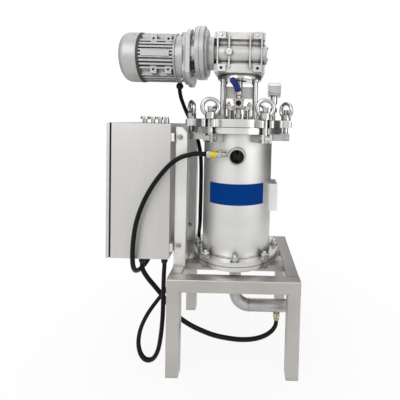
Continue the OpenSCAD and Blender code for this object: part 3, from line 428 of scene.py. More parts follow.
@dataclass(frozen=True)
class Spindle:
    """A start and a direction that turned shapes stand on, in millimetres."""

    at: Triple
    axis: Triple | np.ndarray = UP

    def shift(self, way: float) -> Spindle:
        """The same axis, started further along."""
        return Spindle(tuple(np.array(self.at) + way * np.array(self.axis)), self.axis)

    def grid(self, reach: np.ndarray, height: np.ndarray) -> Patch:
        """A surface around the axis: each row has a height, each column a direction and a reach.

        Args:
            reach: Reach from the axis as rows by columns.
            height: Height of each row.

        Returns:
            The surface.
        """
        along = np.array(self.axis, float) / np.linalg.norm(self.axis)
        across = np.cross(UP if abs(along[2]) < 0.9 else RIGHT, along)
        across /= np.linalg.norm(across)
        angle = np.arange(reach.shape[1])[:, None] * TAU / reach.shape[1]
        ray = np.cos(angle) * across + np.sin(angle) * np.cross(along, across)
        level = np.asarray(height, float)[:, None, None] * along
        return Patch((np.array(self.at) + reach[..., None] * ray + level) * MM)

    def turn(self, profile: list[Pair] | np.ndarray, sides: int = 40) -> Patch:
        """A profile of radius and height turned about the axis."""
        steps = np.array(profile, float)
        return self.grid(np.repeat(steps[:, :1], sides, axis=1), steps[:, 1])

    def ring(self, profile: list[Pair], sides: int = 64) -> Patch:
        """A closed ring: a profile that ends where it starts, turned about the axis."""
        return self.turn([*profile, profile[0]], sides)

    def ball(self, radius: float) -> Patch:
        """A ball around the start: a half circle turned about the axis."""
        half = np.linspace(0.0, math.pi, 25)
        return self.turn(np.stack([radius * np.sin(half), -radius * np.cos(half)], axis=-1), 32)

    def washer(self, radius: float, height: float) -> Patch:
        """A round disc with broken edges, a profile turned about the axis.

        Args:
            radius: Outer radius.
            height: Thickness.

        Returns:
            The surface.
        """
        cut = min(0.5, height / 3.0)
        rise = [(radius - cut, 0.0), (radius, cut), (radius, height - cut), (radius - cut, height)]
        return self.turn([(0.0, 0.0), *rise, (0.0, height)], 36)

    def nut(self, across: float, height: float) -> Patch:
        """A chamfered hexagon: at each height the smaller of its reach and a cone's radius.

        Args:
            across: Width across the flats.
            height: Height of the nut.

        Returns:
            The surface.
        """
        share, slope, sides = 0.96, 0.6, 48
        half = across / 2.0
        face = share * half
        edge = half / math.cos(TAU / 12.0)
        cut = slope * (edge - face)
        level = np.array([0.0, 0.0, cut, height - cut, height, height])
        cone = np.array([0.0, face, edge, edge, face, 0.0])
        angle = np.arange(sides) * TAU / sides
        flats = half / np.cos(np.mod(angle, TAU / 6.0) - TAU / 12.0)
        return self.grid(np.minimum(cone[:, None], flats[None]), level)

    def thread(self, radius: float, length: float, pitch: float, depth: float) -> Patch:
        """A screw thread: the radius follows a triangle wave of height over pitch less the turn.

        Args:
            radius: Root radius.
            length: Length of the thread.
            pitch: Height of one turn.
            depth: Height of the crest.

        Returns:
            The closed surface.
        """
        sides, rows = 36, 8.0
        height = np.linspace(0.0, length, int(round(length / pitch * rows)) + 1)
        turn = height[:, None] / pitch - np.arange(sides)[None] / sides
        reach = radius + depth * np.abs(2.0 * (turn - np.floor(turn + 0.5)))
        point = np.zeros((1, sides))
        return self.grid(np.concatenate([point, reach, point]), np.concatenate([[0.0], height, [length]]))


@dataclass(frozen=True)
class Fastener:
    """A washer, a nut and a thread end along one axis; what is None is left out.

    Attributes:
        washer: Radius and height.
        nut: Start along the axis, width across the flats and height.
        end: Start along the axis, root radius, length, pitch and depth.
    """

    washer: Pair | None = None
    nut: Triple | None = None
    end: tuple[float, ...] | None = None

    def at(self, spots: list[Triple], axis: Triple) -> list[Patch]:
        """The fastener at a number of places.

        Args:
            spots: The places.
            axis: Direction at all of them.

        Returns:
            The surfaces.
        """
        patches = []
        for spindle in (Spindle(spot, axis) for spot in spots):
            if self.washer:
                patches.append(spindle.washer(*self.washer))
            if self.nut:
                patches.append(spindle.shift(self.nut[0]).nut(*self.nut[1:]))
            if self.end:
                patches.append(spindle.shift(self.end[0]).thread(*self.end[1:]))
        return patches


def oblong(inner: float, outer: float, low: float, high: float) -> list[Pair]:
    """The oblong section of a plain ring, as corners of radius and height."""
    return [(inner, low), (outer, low), (outer, high), (inner, high)]


def arc(angles: Angles, sine: Triple, cosine: Triple) -> np.ndarray:
    """Unit rays at angles in degrees: the sine along one direction, the cosine along another."""
    turn = np.radians(np.array(angles, float))[:, None]
    return np.sin(turn) * np.array(sine) + np.cos(turn) * np.array(cosine)


def circle(centre: Triple, radius: float, angles: Angles, sine: Triple, cosine: Triple) -> list[Triple]:
    """Places on a circle: from the centre, a radius along each ray of an arc."""
    return [tuple(spot) for spot in np.array(centre) + radius * arc(angles, sine, cosine)]


def capped(rows: np.ndarray) -> Patch:
    """A tube of sections in millimetres, closed at both ends by each end's middle."""
    ends = [np.broadcast_to(rows[i].mean(axis=0), rows[i].shape)[None] for i in (0, -1)]
    return Patch(np.concatenate([ends[0], rows, ends[1]]) * MM)


def bar(start: Triple, end: Triple, side: Triple, width: float, thick: float) -> Patch:
    """A straight bar: a rectangle across the line from start to end.

    Args:
        start: Middle of one end.
        end: Middle of the other end.
        side: Direction of the width.
        width: Width along it.
        thick: Thickness across it.

    Returns:
        The surface.
    """
    a, b, wide = np.array(start, float), np.array(end, float), np.array(side, float)
    deep = np.cross(b - a, wide)
    deep /= np.linalg.norm(deep)
    corners = np.array([(-1, -1), (1, -1), (1, 1), (-1, 1)], float) * 0.5
    section = corners[:, :1] * wide * width + corners[:, 1:] * deep * thick
    return capped(np.stack([a + section, b + section]))


def smooth_line(knots: np.ndarray, steps: int) -> np.ndarray:
    """A smooth line through knots: each span is the cubic with its neighbours' mean slopes.

    Args:
        knots: Points that the line goes through.
        steps: Points in each span.

    Returns:
        The points of the line.
    """
    ends = np.concatenate([2.0 * knots[:1] - knots[1:2], knots, 2.0 * knots[-1:] - knots[-2:-1]])
    a, b, c, d = (ends[i:len(ends) - 3 + i, None] for i in range(4))
    t = (np.arange(steps) / steps)[None, :, None]
    square = 2.0 * a - 5.0 * b + 4.0 * c - d
    cube = 3.0 * b - a - 3.0 * c + d
    span = 0.5 * (2.0 * b + (c - a) * t + square * t ** 2 + cube * t ** 3)
    return np.concatenate([span.reshape(-1, 3), knots[-1:]])


def handle(at: Triple, knots: list[Triple], flat: Triple, width: float, thick: float) -> Patch:
    """A rounded grip: a superellipse across a smooth line, drawn in at its ends by a quarter circle.

    Args:
        at: Place that the knots are counted from.
        knots: Points of the middle line.
        flat: Direction of the thickness.
        width: Full width.
        thick: Full thickness.

    Returns:
        The surface.
    """
    steps, sides, drawn, least, power = 12, 24, 0.16, 0.2, 0.75
    line = smooth_line(np.array(at) + np.array(knots, float), steps)
    slope = np.gradient(line, axis=0)
    slope /= np.linalg.norm(slope, axis=1, keepdims=True)
    wide = np.cross(slope, flat)
    wide /= np.linalg.norm(wide, axis=1, keepdims=True)
    along = np.linspace(0.0, 1.0, len(line))
    near = np.clip(np.minimum(along, 1.0 - along) / drawn, 0.0, 1.0)
    draw = np.sqrt(1.0 - (1.0 - near) ** 2) * (1.0 - least) + least
    angle = np.arange(sides) * TAU / sides
    wave = np.stack([np.cos(angle), np.sin(angle)], axis=-1)
    wave = np.sign(wave) * np.abs(wave) ** power / 2.0
    section = wave[:, :1] * wide[:, None] * width + wave[:, 1:] * np.array(flat) * thick
    return capped(line[:, None] + section * draw[:, None, None])


def curved_panel(at: Triple, basis: Basis, radius: float, thick: float, angles: Pair, span: Pair) -> Patch:
    """A panel bent around an axis: the section of a flat strip carried along an arc.

    Args:
        at: Point on the axis.
        basis: Directions of the sine, the cosine and the axis.
        radius: Radius of its back.
        thick: Thickness.
        angles: First and last angle, in degrees.
        span: First and last place along.

    Returns:
        The surface.
    """
    sine, cosine, along = basis
    ray = arc(np.linspace(*angles, 61), sine, cosine)
    section = np.array(oblong(0.0, thick, *span))
    return capped(np.array(at) + (radius + section[:, :1]) * ray[:, None] + section[:, 1:] * np.array(along))


def bead(path: np.ndarray, out: np.ndarray, along: Triple, radius: float) -> Patch:
    """A weld bead: a round section across a closed path, swollen by a wave along the path.

    Args:
        path: Points of the path.
        out: First direction of the section at each point.
        along: Second direction of the section.
        radius: Radius of the bead.

    Returns:
        The surface.
    """
    ripple, swelling, sides = 3.2, 0.14, 10
    way = np.cumsum(np.linalg.norm(np.diff(path, axis=0, prepend=path[:1]), axis=1))
    swell = radius * (1.0 + swelling * np.abs(np.sin(way * math.pi / ripple)))
    angle = np.arange(sides)[:, None] * TAU / sides
    section = np.cos(angle) * out[:, None] + np.sin(angle) * np.array(along)
    return Patch((path[:, None] + swell[:, None, None] * section) * MM)


def ring_bead(centre: Triple, radius: float, size: float, basis: Basis, count: int = 120,
              bend: float = 0.0) -> Patch:
    """A weld bead around an axis, raised along it onto a cylinder where the ring lies on one.

    Args:
        centre: Centre of the ring.
        radius: Radius of the ring.
        size: Radius of the bead.
        basis: Directions of the cosine, the sine and the axis.
        count: Number of points.
        bend: Radius of the cylinder, or nought.

    Returns:
        The surface.
    """
    cosine, sine, along = basis
    angle = np.linspace(0.0, 360.0, count)
    out = arc(angle, sine, cosine)
    across = radius * np.cos(np.radians(angle))
    rise = np.sqrt(np.maximum(bend ** 2 - across ** 2, 0.0))
    path = np.array(centre) + radius * out + rise[:, None] * np.array(along)
    return bead(path, out, along, size)


def place(name: str, data: bpy.types.ID) -> bpy.types.Object:
    """Puts an object into the scene.

    Args:
        name: Its name.
        data: Its mesh, curve, lamp or camera.

    Returns:
        The object.
    """
    piece = bpy.data.objects.new(name, data)
    bpy.context.scene.collection.objects.link(piece)
    return piece


# Angles of smooth shading in degrees, and lengths in metres that count as none

SOFT = 35.0
SHARP = 25.0
MERGED = 1e-6
SLIVER = 1e-7


def make_piece(name: str, patches: list[Patch], finish: Finish, body: str = FRAME,
               smooth: float = SOFT) -> bpy.types.Object:
    """Puts patches into one mesh, closes its seams and poles, and lets it ride on a body.

    Args:
        name: Name of the piece.
        patches: Its surfaces.
        finish: Its finish.
        body: CAD body that it moves with.
        smooth: Angle in degrees up to which edges are shaded smooth.

    Returns:
        The object.
    """
    mesh = Patch.join(name, patches)
    work = bmesh.new()
    work.from_mesh(mesh)
    bmesh.ops.remove_doubles(work, verts=work.verts, dist=MERGED)
    bmesh.ops.dissolve_degenerate(work, edges=work.edges, dist=SLIVER)
    bmesh.ops.recalc_face_normals(work, faces=work.faces)
    work.to_mesh(mesh)
    work.free()
    mesh.shade_smooth()
    mesh.set_sharp_from_angle(angle=math.radians(smooth))
    mesh.materials.append(finish.material())
    piece = place(name, mesh)
    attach(piece, body)
    LOG.info("piece %s on %s: %d faces", name, body, len(mesh.polygons))
    return piece


# Finishes of this filter

SATIN = Grain(700.0, 7.0, 0.02, 0.05, 0.05, 4e-5)
ROLLED = Grain(900.0, 12.0, 0.02, 0.03, 0.04, 3e-5, (0.02, 0.02, 1.0))
LATHE = Grain(900.0, 20.0, 0.05, 0.05, 0.05, 3e-5, pattern=Pattern.TURNED)
BUFFED = Grain(160.0, 18.0, 0.02, 0.06, 0.05, 4e-5)
MILLED = Grain(500.0, 14.0, 0.04, 0.06, 0.06, 4e-5, (1.0, 1.0, 0.2))
DRAWN = Grain(300.0, 14.0, 0.03, 0.07, 0.06, 4e-5)
WELDED = Grain(500.0, 40.0, 0.08, 0.12, 0.08, 8e-5)
SANDED = Grain(900.0, 16.0, 0.05, 0.06, 0.05, 1.2e-4)
SPRAYED = Grain(420.0, 10.0, 0.02, 0.04, 0.05, 8e-5)
BRUSHED = Grain(800.0, 5.0, 0.025, 0.04, 0.05, 3e-5, (1.0, 1.0, 0.012))
BRASSY = Grain(400.0, 30.0, 0.05, 0.10, 0.06, 4e-5)
PRINTED = Grain(500.0, tone=0.02, cloud=0.03, bump=3e-5)

# In these finishes the recess amount paints shade into recesses and joins, and the edge amount paints edges
# lighter, partly as real wear and partly as highlight.
STAND = Finish("stand_satin", "stand_steel", (0.47, 0.455, 0.43), 1.0, 0.46, SATIN, 0.25,
               (0.62, 0.61, 0.58), grime=0.5)
# A lighter copy of the stand's steel for the posts and rails: painted light.
POST_LIT = Finish("post_satin_lit", "stand_steel", (0.71, 0.705, 0.69), 1.0, 0.42, SATIN, 0.25,
              (0.74, 0.73, 0.71), grime=0.8)
SHELL = Finish("shell_rolled", "vessel_steel", (0.665, 0.66, 0.645), 1.0, 0.43, ROLLED)
TURNED = Finish("turned_steel", "machined_steel", (0.62, 0.615, 0.605), 1.0, 0.22, LATHE, 0.3, grime=1.3)
POLISHED = Finish("polished_steel", "machined_steel", (0.50, 0.495, 0.485), 1.0, 0.16, BUFFED, 0.2, grime=1.3)
MACHINED = Finish("milled_steel", "machined_steel", (0.47, 0.465, 0.455), 1.0, 0.25, MILLED, 0.3, grime=1.3)
CHROME = Finish("bright_plug", "machined_steel", (0.80, 0.80, 0.79), 1.0, 0.14, Grain(400.0, bump=2e-5))
PIPE = Finish("pipe_steel", "vessel_steel", (0.44, 0.435, 0.425), 1.0, 0.37, DRAWN, grime=1.0)
WELD = Finish("weld_bead", "vessel_steel", (0.42, 0.41, 0.39), 1.0, 0.36, WELDED)
CAST = Finish("cast_rough", "cast_aluminium", (0.56, 0.555, 0.545), 0.7, 0.40, SANDED, 0.7,
              (0.80, 0.80, 0.79), grime=1.5)
PAINT = Finish("silver_paint", "motor_paint", (0.49, 0.485, 0.482), 0.25, 0.38, SPRAYED, 0.5,
               (0.74, 0.74, 0.73), 0.04, 1.4, 0.15)
# A darker copy of the motor paint on the finned body: painted shade between the fins.
SHADED_FINS = replace(PAINT, name="shaded_finned_paint", colour=(0.395, 0.39, 0.388))
CABINET = Finish("cabinet_brushed", "cabinet_paint", (0.63, 0.62, 0.605), 0.55, 0.40, BRUSHED, 0.25,
                 (0.78, 0.77, 0.75), 0.04)
SEAL = Finish("door_seal", "soft_seal", (0.008, 0.008, 0.008), 0.0, 0.65, Grain(500.0), specular=0.2)
RUBBER = Finish("hose_rubber", "black_rubber", (0.006, 0.006, 0.006), 0.0, 0.42, Grain(900.0, gloss=0.06),
                specular=0.14)
CABLE = replace(RUBBER, name="cable_jacket", roughness=0.45, grain=Grain(900.0, gloss=0.06, bump=8e-5))
BLACK = Finish("black_moulded", "black_plastic", (0.012, 0.012, 0.012), 0.0, 0.42, Grain(800.0, bump=8e-5),
               0.1, (0.06, 0.06, 0.06), specular=0.3)
GREY = Finish("grey_moulded", "grey_plastic", (0.50, 0.51, 0.52), 0.0, 0.45, Grain(800.0, bump=6e-5))
BRASS = Finish("yellow_brass", "brass", (0.47, 0.37, 0.16), 1.0, 0.24, BRASSY, 0.3, (0.80, 0.68, 0.38),
               grime=1.2)
COPPER = Finish("copper_nut", "brass", (0.72, 0.36, 0.20), 1.0, 0.28, Grain(400.0, 30.0))
DIAL = Finish("dial_face", "dial_white", (0.85, 0.85, 0.83), 0.0, 0.5, Grain(600.0, bump=2e-5))
GLASS = Finish("gauge_glass", "clear_glass", (0.95, 0.98, 0.98), 0.0, 0.03, transmission=1.0)
SLEEVE = Finish("blue_sleeve", "lever_blue", (0.004, 0.018, 0.15), 0.0, 0.40, Grain(500.0, bump=8e-5),
                0.15, (0.03, 0.09, 0.32), specular=0.3)
POLYMER = Finish("pale_polymer", "scraper_polymer", (0.80, 0.80, 0.76), 0.0, 0.5)
ROTOR = Finish("rotor_plain", "rotor_steel", (0.50, 0.50, 0.50), 1.0, 0.34)
PLATE_BLUE = Finish("blue_plate", "lever_blue", (0.0, 0.042, 0.235), 0.0, 0.5, PRINTED, specular=0.05)
# The filter screen made near black: painted shade inside the vessel, seen through the inlet port.
SHADED_SCREEN = Finish("screen_in_shade", "vessel_steel", (0.07, 0.07, 0.07), 0.6, 0.55)
YELLOW = Finish("yellow_collar", "brass", (0.78, 0.60, 0.03), 0.2, 0.36, Grain(400.0, bump=3e-5))
# Near black: a real dark parting line on the gear stage, and painted shade in the fan cover's gap and in the
# vent valve's bore.
GROOVE_AND_SHADE = Finish("dark_groove_and_shade", "black_plastic", (0.045, 0.045, 0.045), 0.0, 0.6, Grain(400.0))
LINE_WHITE = Finish("white_line", "dial_white", (0.86, 0.86, 0.84), 0.0, 0.42, Grain(500.0, bump=2e-5))

FINISHED_NODES: tuple[tuple[Finish, str], ...] = (
    (STAND, "stand_legs stand_beams support_bars"),
    (POST_LIT, "cabinet_posts cabinet_rails"),
    (SHELL, "vessel_shell"),
    (TURNED, "body_flange lower_flange bottom_plate cover drive_flange seal_housing gland_follower"),
    (MACHINED, "flange_bolts swing_lugs bottom_bearing lantern cabinet_hinges cabinet_fittings"),
    (MACHINED, "drive_shaft door_lock"),
    (POLISHED, "gauge_case vent_valve hose_fittings"),
    (POLISHED, " ".join(f"swing_bolt_{i}" for i in range(1, 7))),
    (PIPE, "outlet_pipe inlet_port"),
    (CAST, "gearbox_housing gearbox_caps"),
    (PAINT, "stage_housing motor_shields fan_cover terminal_box"),
    (SHADED_FINS, "motor_frame"),
    (ROTOR, "bearings motor_stator motor_rotor worm_shaft"),
    (CABINET, "cabinet_box cabinet_door"),
    (BLACK, "cable_glands cooling_fan gauge_pointer"),
    (SEAL, "gaskets"), (SHADED_SCREEN, "filter_screen"), (LINE_WHITE, "nameplate_bracket"), (DIAL, "gauge_dial"),
    (GLASS, "gauge_glass"), (GREY, "control_gear"), (POLYMER, "scraper"), (BRASS, "worm_wheel"),
    (SLEEVE, "valve_lever"),
)


# Camera, light and stage


@dataclass
class Studio:
    """Camera at the photograph's place, a pale floor, and soft light.

    Attributes:
        eye: Place of the camera, in millimetres.
        pitch: Tilt below the horizon, in degrees.
        roll: Turn about the line of sight, in degrees.
        focal: Focal length in pixels of the photograph.
        centre: Pixel that the line of sight meets.
        frame: Width and height of the photograph, in pixels.
        sensor: Width of the sensor, in millimetres.
        lamps: Name, place, height of the aim, side and power of each lamp, in metres and watts.
        dim: Strength of the world where it lights and isn't seen.
        flags: Name, first and last angle of each dark screen.
        flag_place: Distance, foot and height of the screens, in metres.
        fade: Distances between which the floor fades to white, in metres.
        near: Share of white at the floor's middle.
    """

    eye: Triple = (22.46, -1180.23, 892.92)
    pitch: float = 1.8047
    roll: float = 1.364
    focal: float = 289.63
    centre: Pair = (243.95, 131.13)
    frame: float = 400.0
    sensor: float = 36.0
    lamps: tuple[tuple[str, Triple, float, float, float], ...] = (
        ("key_lamp", (-1.3, -2.3, 2.2), 0.75, 1.8, 30.0),
        ("fill_lamp", (1.9, -1.9, 1.3), 0.7, 1.6, 14.0),
        ("top_lamp", (0.1, 0.3, 3.1), 0.8, 2.0, 12.0),
    )
    dim: float = 0.42
    flags: tuple[tuple[str, float, float], ...] = (
        ("left_flag", -165.0, -78.0), ("right_flag", 84.0, 165.0),
    )
    flag_place: Triple = (1.9, 0.05, 2.2)
    fade: Pair = (0.25, 0.95)
    near: float = 0.90

    def build(self) -> None:
        """Builds the camera, the lamps, the world, the floor and the screens."""
        self._camera()
        self._world()
        self._floor()
        self._flags()
        for name, at, aim, size, power in self.lamps:
            lamp = bpy.data.lights.new(name, "AREA")
            lamp.size = size
            lamp.energy = power
            look = (Vector((0.0, 0.0, aim)) - Vector(at)).to_track_quat("-Z", "Y").to_matrix().to_4x4()
            place(name, lamp).matrix_world = Matrix.Translation(Vector(at)) @ look

    def _camera(self) -> None:
        """Places the camera and shifts its frame so that the line of sight meets its pixel."""
        lens = bpy.data.cameras.new("photo_camera")
        lens.sensor_width = self.sensor
        lens.sensor_fit = "HORIZONTAL"
        lens.lens = self.focal * self.sensor / self.frame
        lens.shift_x = (self.frame / 2.0 - self.centre[0]) / self.frame
        lens.shift_y = (self.centre[1] - self.frame / 2.0) / self.frame
        lens.clip_start = 0.05
        turn = Matrix.Rotation(math.radians(90.0 - self.pitch), 4, "X")
        turn = turn @ Matrix.Rotation(math.radians(self.roll), 4, "Z")
        camera = place("photo_camera", lens)
        camera.matrix_world = Matrix.Translation(Vector(self.eye) * MM) @ turn
        bpy.context.scene.camera = camera

    @staticmethod
    def _seen(web: Web) -> Socket:
        """A socket that is one for camera, glossy and transmission rays.

        Args:
            web: Node tree to add the nodes to.

        Returns:
            The socket.
        """
        path = web.add("LightPath").outputs
        seen = path["Is Camera Ray"]
        for label in ("Is Glossy Ray", "Is Transmission Ray"):
            seen = web.add("Math", {0: seen, 1: path[label]}, operation="MAXIMUM").outputs[0]
        return seen

    @staticmethod
    def _prop(name: str, patch: Patch, made: bpy.types.Material) -> bpy.types.Object:
        """Puts a surface on the stage.

        Args:
            name: Its name.
            patch: Its surface.
            made: Its material.

        Returns:
            The object.
        """
        mesh = Patch.join(name, [patch])
        mesh.materials.append(made)
        prop = place(name, mesh)
        prop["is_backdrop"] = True
        return prop

    @staticmethod
    def _plain(name: str, grey: Triple, roughness: float) -> bpy.types.Material:
        """A plain material.

        Args:
            name: Its name.
            grey: Base colour.
            roughness: Roughness.

        Returns:
            The material.
        """
        made = bpy.data.materials.new(name)
        made.use_nodes = True
        web = Web(made.node_tree)
        web.fill(web.tree.nodes["Principled BSDF"], {"Base Color": (*grey, 1.0), "Roughness": roughness})
        return made

    def _flags(self) -> None:
        """Dark screens beside and behind the object that only reflections see: an arc carried upwards."""
        made = self._plain("flag_dark", grey=(0.14, 0.14, 0.14), roughness=1.0)
        distance, foot, height = self.flag_place
        for name, first, last in self.flags:
            low = foot * np.array(UP) + distance * arc(np.linspace(first, last, 25), RIGHT, FRONT)
            high = low + height * np.array(UP)
            flag = self._prop(name, Patch(np.stack([low, high]), wrap=False), made)
            flag.visible_camera = False
            flag.visible_diffuse = False
            flag.visible_shadow = False

    def _world(self) -> None:
        """White where it is seen, and a plain grey light elsewhere."""
        world = bpy.data.worlds.new("studio_world")
        world.use_nodes = True
        web = Web(world.node_tree)
        level = web.add("MapRange", {"Value": self._seen(web), "To Min": self.dim, "To Max": 1.0})
        white = {"Color": (1.0, 1.0, 1.0, 1.0), "Strength": level.outputs[0]}
        web.fill(web.tree.nodes["Background"], white)
        bpy.context.scene.world = world

    def _floor(self) -> None:
        """A pale round floor that fades to white where it is seen and keeps the shadow."""
        made = self._plain("floor_pale", grey=(0.90, 0.90, 0.89), roughness=0.8)
        web = Web(made.node_tree)
        far = web.add("VectorMath", {0: web.add("TexCoord").outputs["Object"]}, operation="LENGTH")
        ends = {"From Min": self.fade[0], "From Max": self.fade[1], "To Min": self.near}
        fade = web.add("MapRange", {"Value": far.outputs["Value"], **ends})
        share = web.add("Math", {0: self._seen(web), 1: fade.outputs[0]}, operation="MULTIPLY")
        shader = web.tree.nodes["Principled BSDF"].outputs[0]
        mix = web.add("MixShader", {0: share.outputs[0], 1: shader, 2: web.add("Emission").outputs[0]})
        web.fill(web.tree.nodes["Material Output"], {"Surface": mix.outputs[0]})
        drop, outer, inner = 0.5, 6000.0, 2500.0
        disc = Spindle((0.0, 0.0, -drop)).turn([(outer, 0.0), (inner, 0.0), (0.0, 0.0)], 64)
        self._prop("studio_floor", disc, made)


# Cords


class Stiffness(Enum):
    """How far a cord keeps its own shape."""

    MEDIUM = "medium"
    STIFF = "stiff"


@dataclass
class Cord:
    """A hose or cable: a piece along a route in millimetres, and the CAD node that it stands for."""

    name: str
    node: str
    route: list[Triple]
    diameter: float
    finish: Finish
    stiffness: Stiffness

    def build(self) -> None:
        line = smooth_line(np.array(self.route, float) * MM, 10)
        data = bpy.data.curves.new(self.name, "CURVE")
        data.dimensions = "3D"
        data.bevel_depth = self.diameter * MM / 2.0
        data.bevel_resolution = 6
        data.use_fill_caps = True
        spline = data.splines.new("POLY")
        spline.points.add(len(line) - 1)
        spline.points.foreach_set("co", np.concatenate([line, np.ones((len(line), 1))], axis=1).ravel())
        spline.use_smooth = True
        data.materials.append(self.finish.material())
        piece = place(self.name, data)
        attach(piece, "frame")
        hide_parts(self.node)


UPPER_ROUTE: list[Triple] = [
    (-106, -156, 776), (-120, -156, 776), (-144, -158, 777), (-166, -162, 773), (-196, -164, 764),
    (-228, -164, 743), (-259, -162, 711), (-291, -160, 668), (-319, -158, 620), (-341, -156, 570),
    (-356, -154, 520), (-364, -152, 474), (-368, -151, 432), (-370, -147, 392), (-372, -135, 356),
    (-373, -112, 329), (-371, -84, 315), (-363, -58, 316), (-352, -40, 329), (-346, -33, 348),
    (-346, -33, 366),
]
LOWER_ROUTE: list[Triple] = [
    (-352, -95, 350), (-352, -95, 336), (-348, -95, 318), (-329, -96, 290), (-300, -97, 257),
    (-268, -95, 216), (-240, -91, 172), (-210, -86, 134), (-172, -80, 103), (-128, -74, 77),
    (-78, -68, 54), (-24, -60, 37), (30, -52, 26), (82, -40, 21), (124, -24, 22), (154, -10, 31),
    (170, -2, 46), (175, 0, 62.85), (175, 0, 76.85),
]
MOTOR_ROUTE: list[Triple] = [
    (-246, 18, 1030), (-246, 18, 1016), (-243, 28, 990), (-236, 44, 962), (-225, 58, 930), (-210, 64, 896),
    (-194, 62, 864), (-179, 52, 830), (-166, 37, 796), (-156, 25, 752), (-152, 19, 700), (-151, 17, 640),
    (-151, 17, 580), (-152, 21, 524), (-154, 34, 478), (-159, 60, 440), (-165, 86, 408), (-168, 100, 372),
    (-169, 104, 336), (-173, 102, 304), (-186, 92, 276), (-212, 68, 250), (-244, 38, 226), (-280, 4, 194),
    (-314, -30, 160), (-342, -60, 124), (-358, -86, 86), (-357, -112, 52), (-340, -136, 29),
    (-314, -154, 22), (-286, -164, 34), (-268, -166, 66), (-260, -161, 112), (-257, -152, 166),
    (-258, -142, 214), (-262, -126, 264), (-267, -104, 310), (-268, -95, 336), (-268, -95, 350),
]


# Sub-assemblies, with all measures in millimetres

EIGHTHS = 45.0 * np.arange(8)
SIXTHS = 60.0 * np.arange(6)
CORNERS = 45.0 + 90.0 * np.arange(4)


@dataclass
class Vessel:
    """Fine pieces on the vessel: the blue plate, rivets, weld beads and bolts of the bottom flange.

    Attributes:
        shell_r: Outer radius of the shell.
        shell_top: Height of the bead under the upper flange.
        plate_angle: Half of the angle that the plate covers.
        plate_z: Lower and upper edge of the plate.
        bolt_r: Radius of the bottom flange's bolt circle.
        flange_z: Upper face of the bottom flange.
        port: Radius of the bead around the inlet port, and height of the port.
        pipe: Radius of the bead where the outlet pipe starts, and its height.
        elbow: End of the outlet's elbow.
        bracket_x: Outer face of the bracket's bare plate.
        rivets: Places of the plate's rivets along and in height.
    """

    shell_r: float = 136.5
    shell_top: float = 849.2
    plate_angle: float = 46.7
    plate_z: Pair = (588.0, 666.0)
    bolt_r: float = 156.0
    flange_z: float = 394.0
    port: Pair = (30.6, 770.0)
    pipe: Pair = (28.3, 195.0)
    elbow: Triple = (60.0, 0.0, 135.0)
    bracket_x: float = 159.4
    rivets: tuple[Pair, Pair] = ((-43.0, 43.0), (554.0, 645.0))

    def build(self) -> None:
        """Builds the bare blue plate, the rivets of the bare bracket, the beads and the bolts."""
        angles = (-self.plate_angle, self.plate_angle)
        blue = curved_panel(ORIGIN, [RIGHT, FRONT, UP], self.shell_r + 0.1, 1.4, angles, self.plate_z)
        make_piece("blue_plate", [blue], PLATE_BLUE)
        dome = [(0.0, 1.6), (1.8, 1.2), (2.8, 0.0), (0.0, -0.4)]
        spots = [(self.bracket_x, y, z) for y in self.rivets[0] for z in self.rivets[1]]
        make_piece("bracket_rivets", [Spindle(spot, RIGHT).turn(dome, 20) for spot in spots], MACHINED)
        self.beads()
        bolts = circle((0.0, 0.0, self.flange_z), self.bolt_r, EIGHTHS, RIGHT, FRONT)
        screw = Fastener((15.0, 2.4), (2.0, 24.4, 11.0), (12.0, 7.4, 8.0, 2.0, 0.6))
        make_piece("flange_fasteners", screw.at(bolts, UP), POLISHED, smooth=SHARP)

    def beads(self) -> None:
        """Weld beads where the shell meets its flanges, around the port, and at the outlet's elbow."""
        level = [RIGHT, BACK, UP]
        port_r, port_z = self.port
        pipe_r, pipe_z = self.pipe
        rings = [ring_bead((0.0, 0.0, z), self.shell_r + 0.5, 2.6, level, 240)
                 for z in (self.flange_z + 1.0, self.shell_top)]
        rings += [ring_bead((0.0, 0.0, pipe_z), pipe_r, 1.8, level),
                  ring_bead(self.elbow, 28.0, 0.7, [BACK, UP, RIGHT]),
                  ring_bead((0.0, 0.0, port_z), port_r, 2.2, [RIGHT, UP, FRONT], bend=self.shell_r)]
        make_piece("vessel_welds", rings, WELD)


@dataclass
class Closure:
    """Fine pieces on the swing bolts: thread ends in the eye nuts, and washers on the pins.

    Attributes:
        angles: Angle of each swing bolt around the vessel, from the front.
        radius: Radius of the bolt circle.
        collar_z: Upper face of the nuts' collars.
        pin_z: Height of the pins.
    """

    angles: tuple[float, ...] = (-30.0, 30.0, -90.0, 90.0, -150.0, 150.0)
    radius: float = 192.0
    collar_z: float = 924.4
    pin_z: float = 834.0

    def build(self) -> None:
        """Builds the pieces of each bolt."""
        tops = circle((0.0, 0.0, self.collar_z), self.radius, self.angles, RIGHT, FRONT)
        pins = circle((0.0, 0.0, self.pin_z), self.radius, self.angles, RIGHT, FRONT)
        sides = arc(self.angles, BACK, RIGHT)
        heads = []
        for i, (top, pin, side) in enumerate(zip(tops, pins, sides), start=1):
            end = Spindle(top).thread(9.9, 21.0, 2.5, 0.7)
            make_piece(f"bolt_thread_{i}", [end], MACHINED, f"swing_bolt_{i}", SHARP)
            heads += [Spindle(pin, way).shift(20.6).washer(11.5, 2.2) for way in (-side, side)]
            heads.append(Spindle(pin, side).shift(22.6).nut(17.0, 5.0))
        make_piece("pin_fasteners", heads, MACHINED, smooth=SHARP)


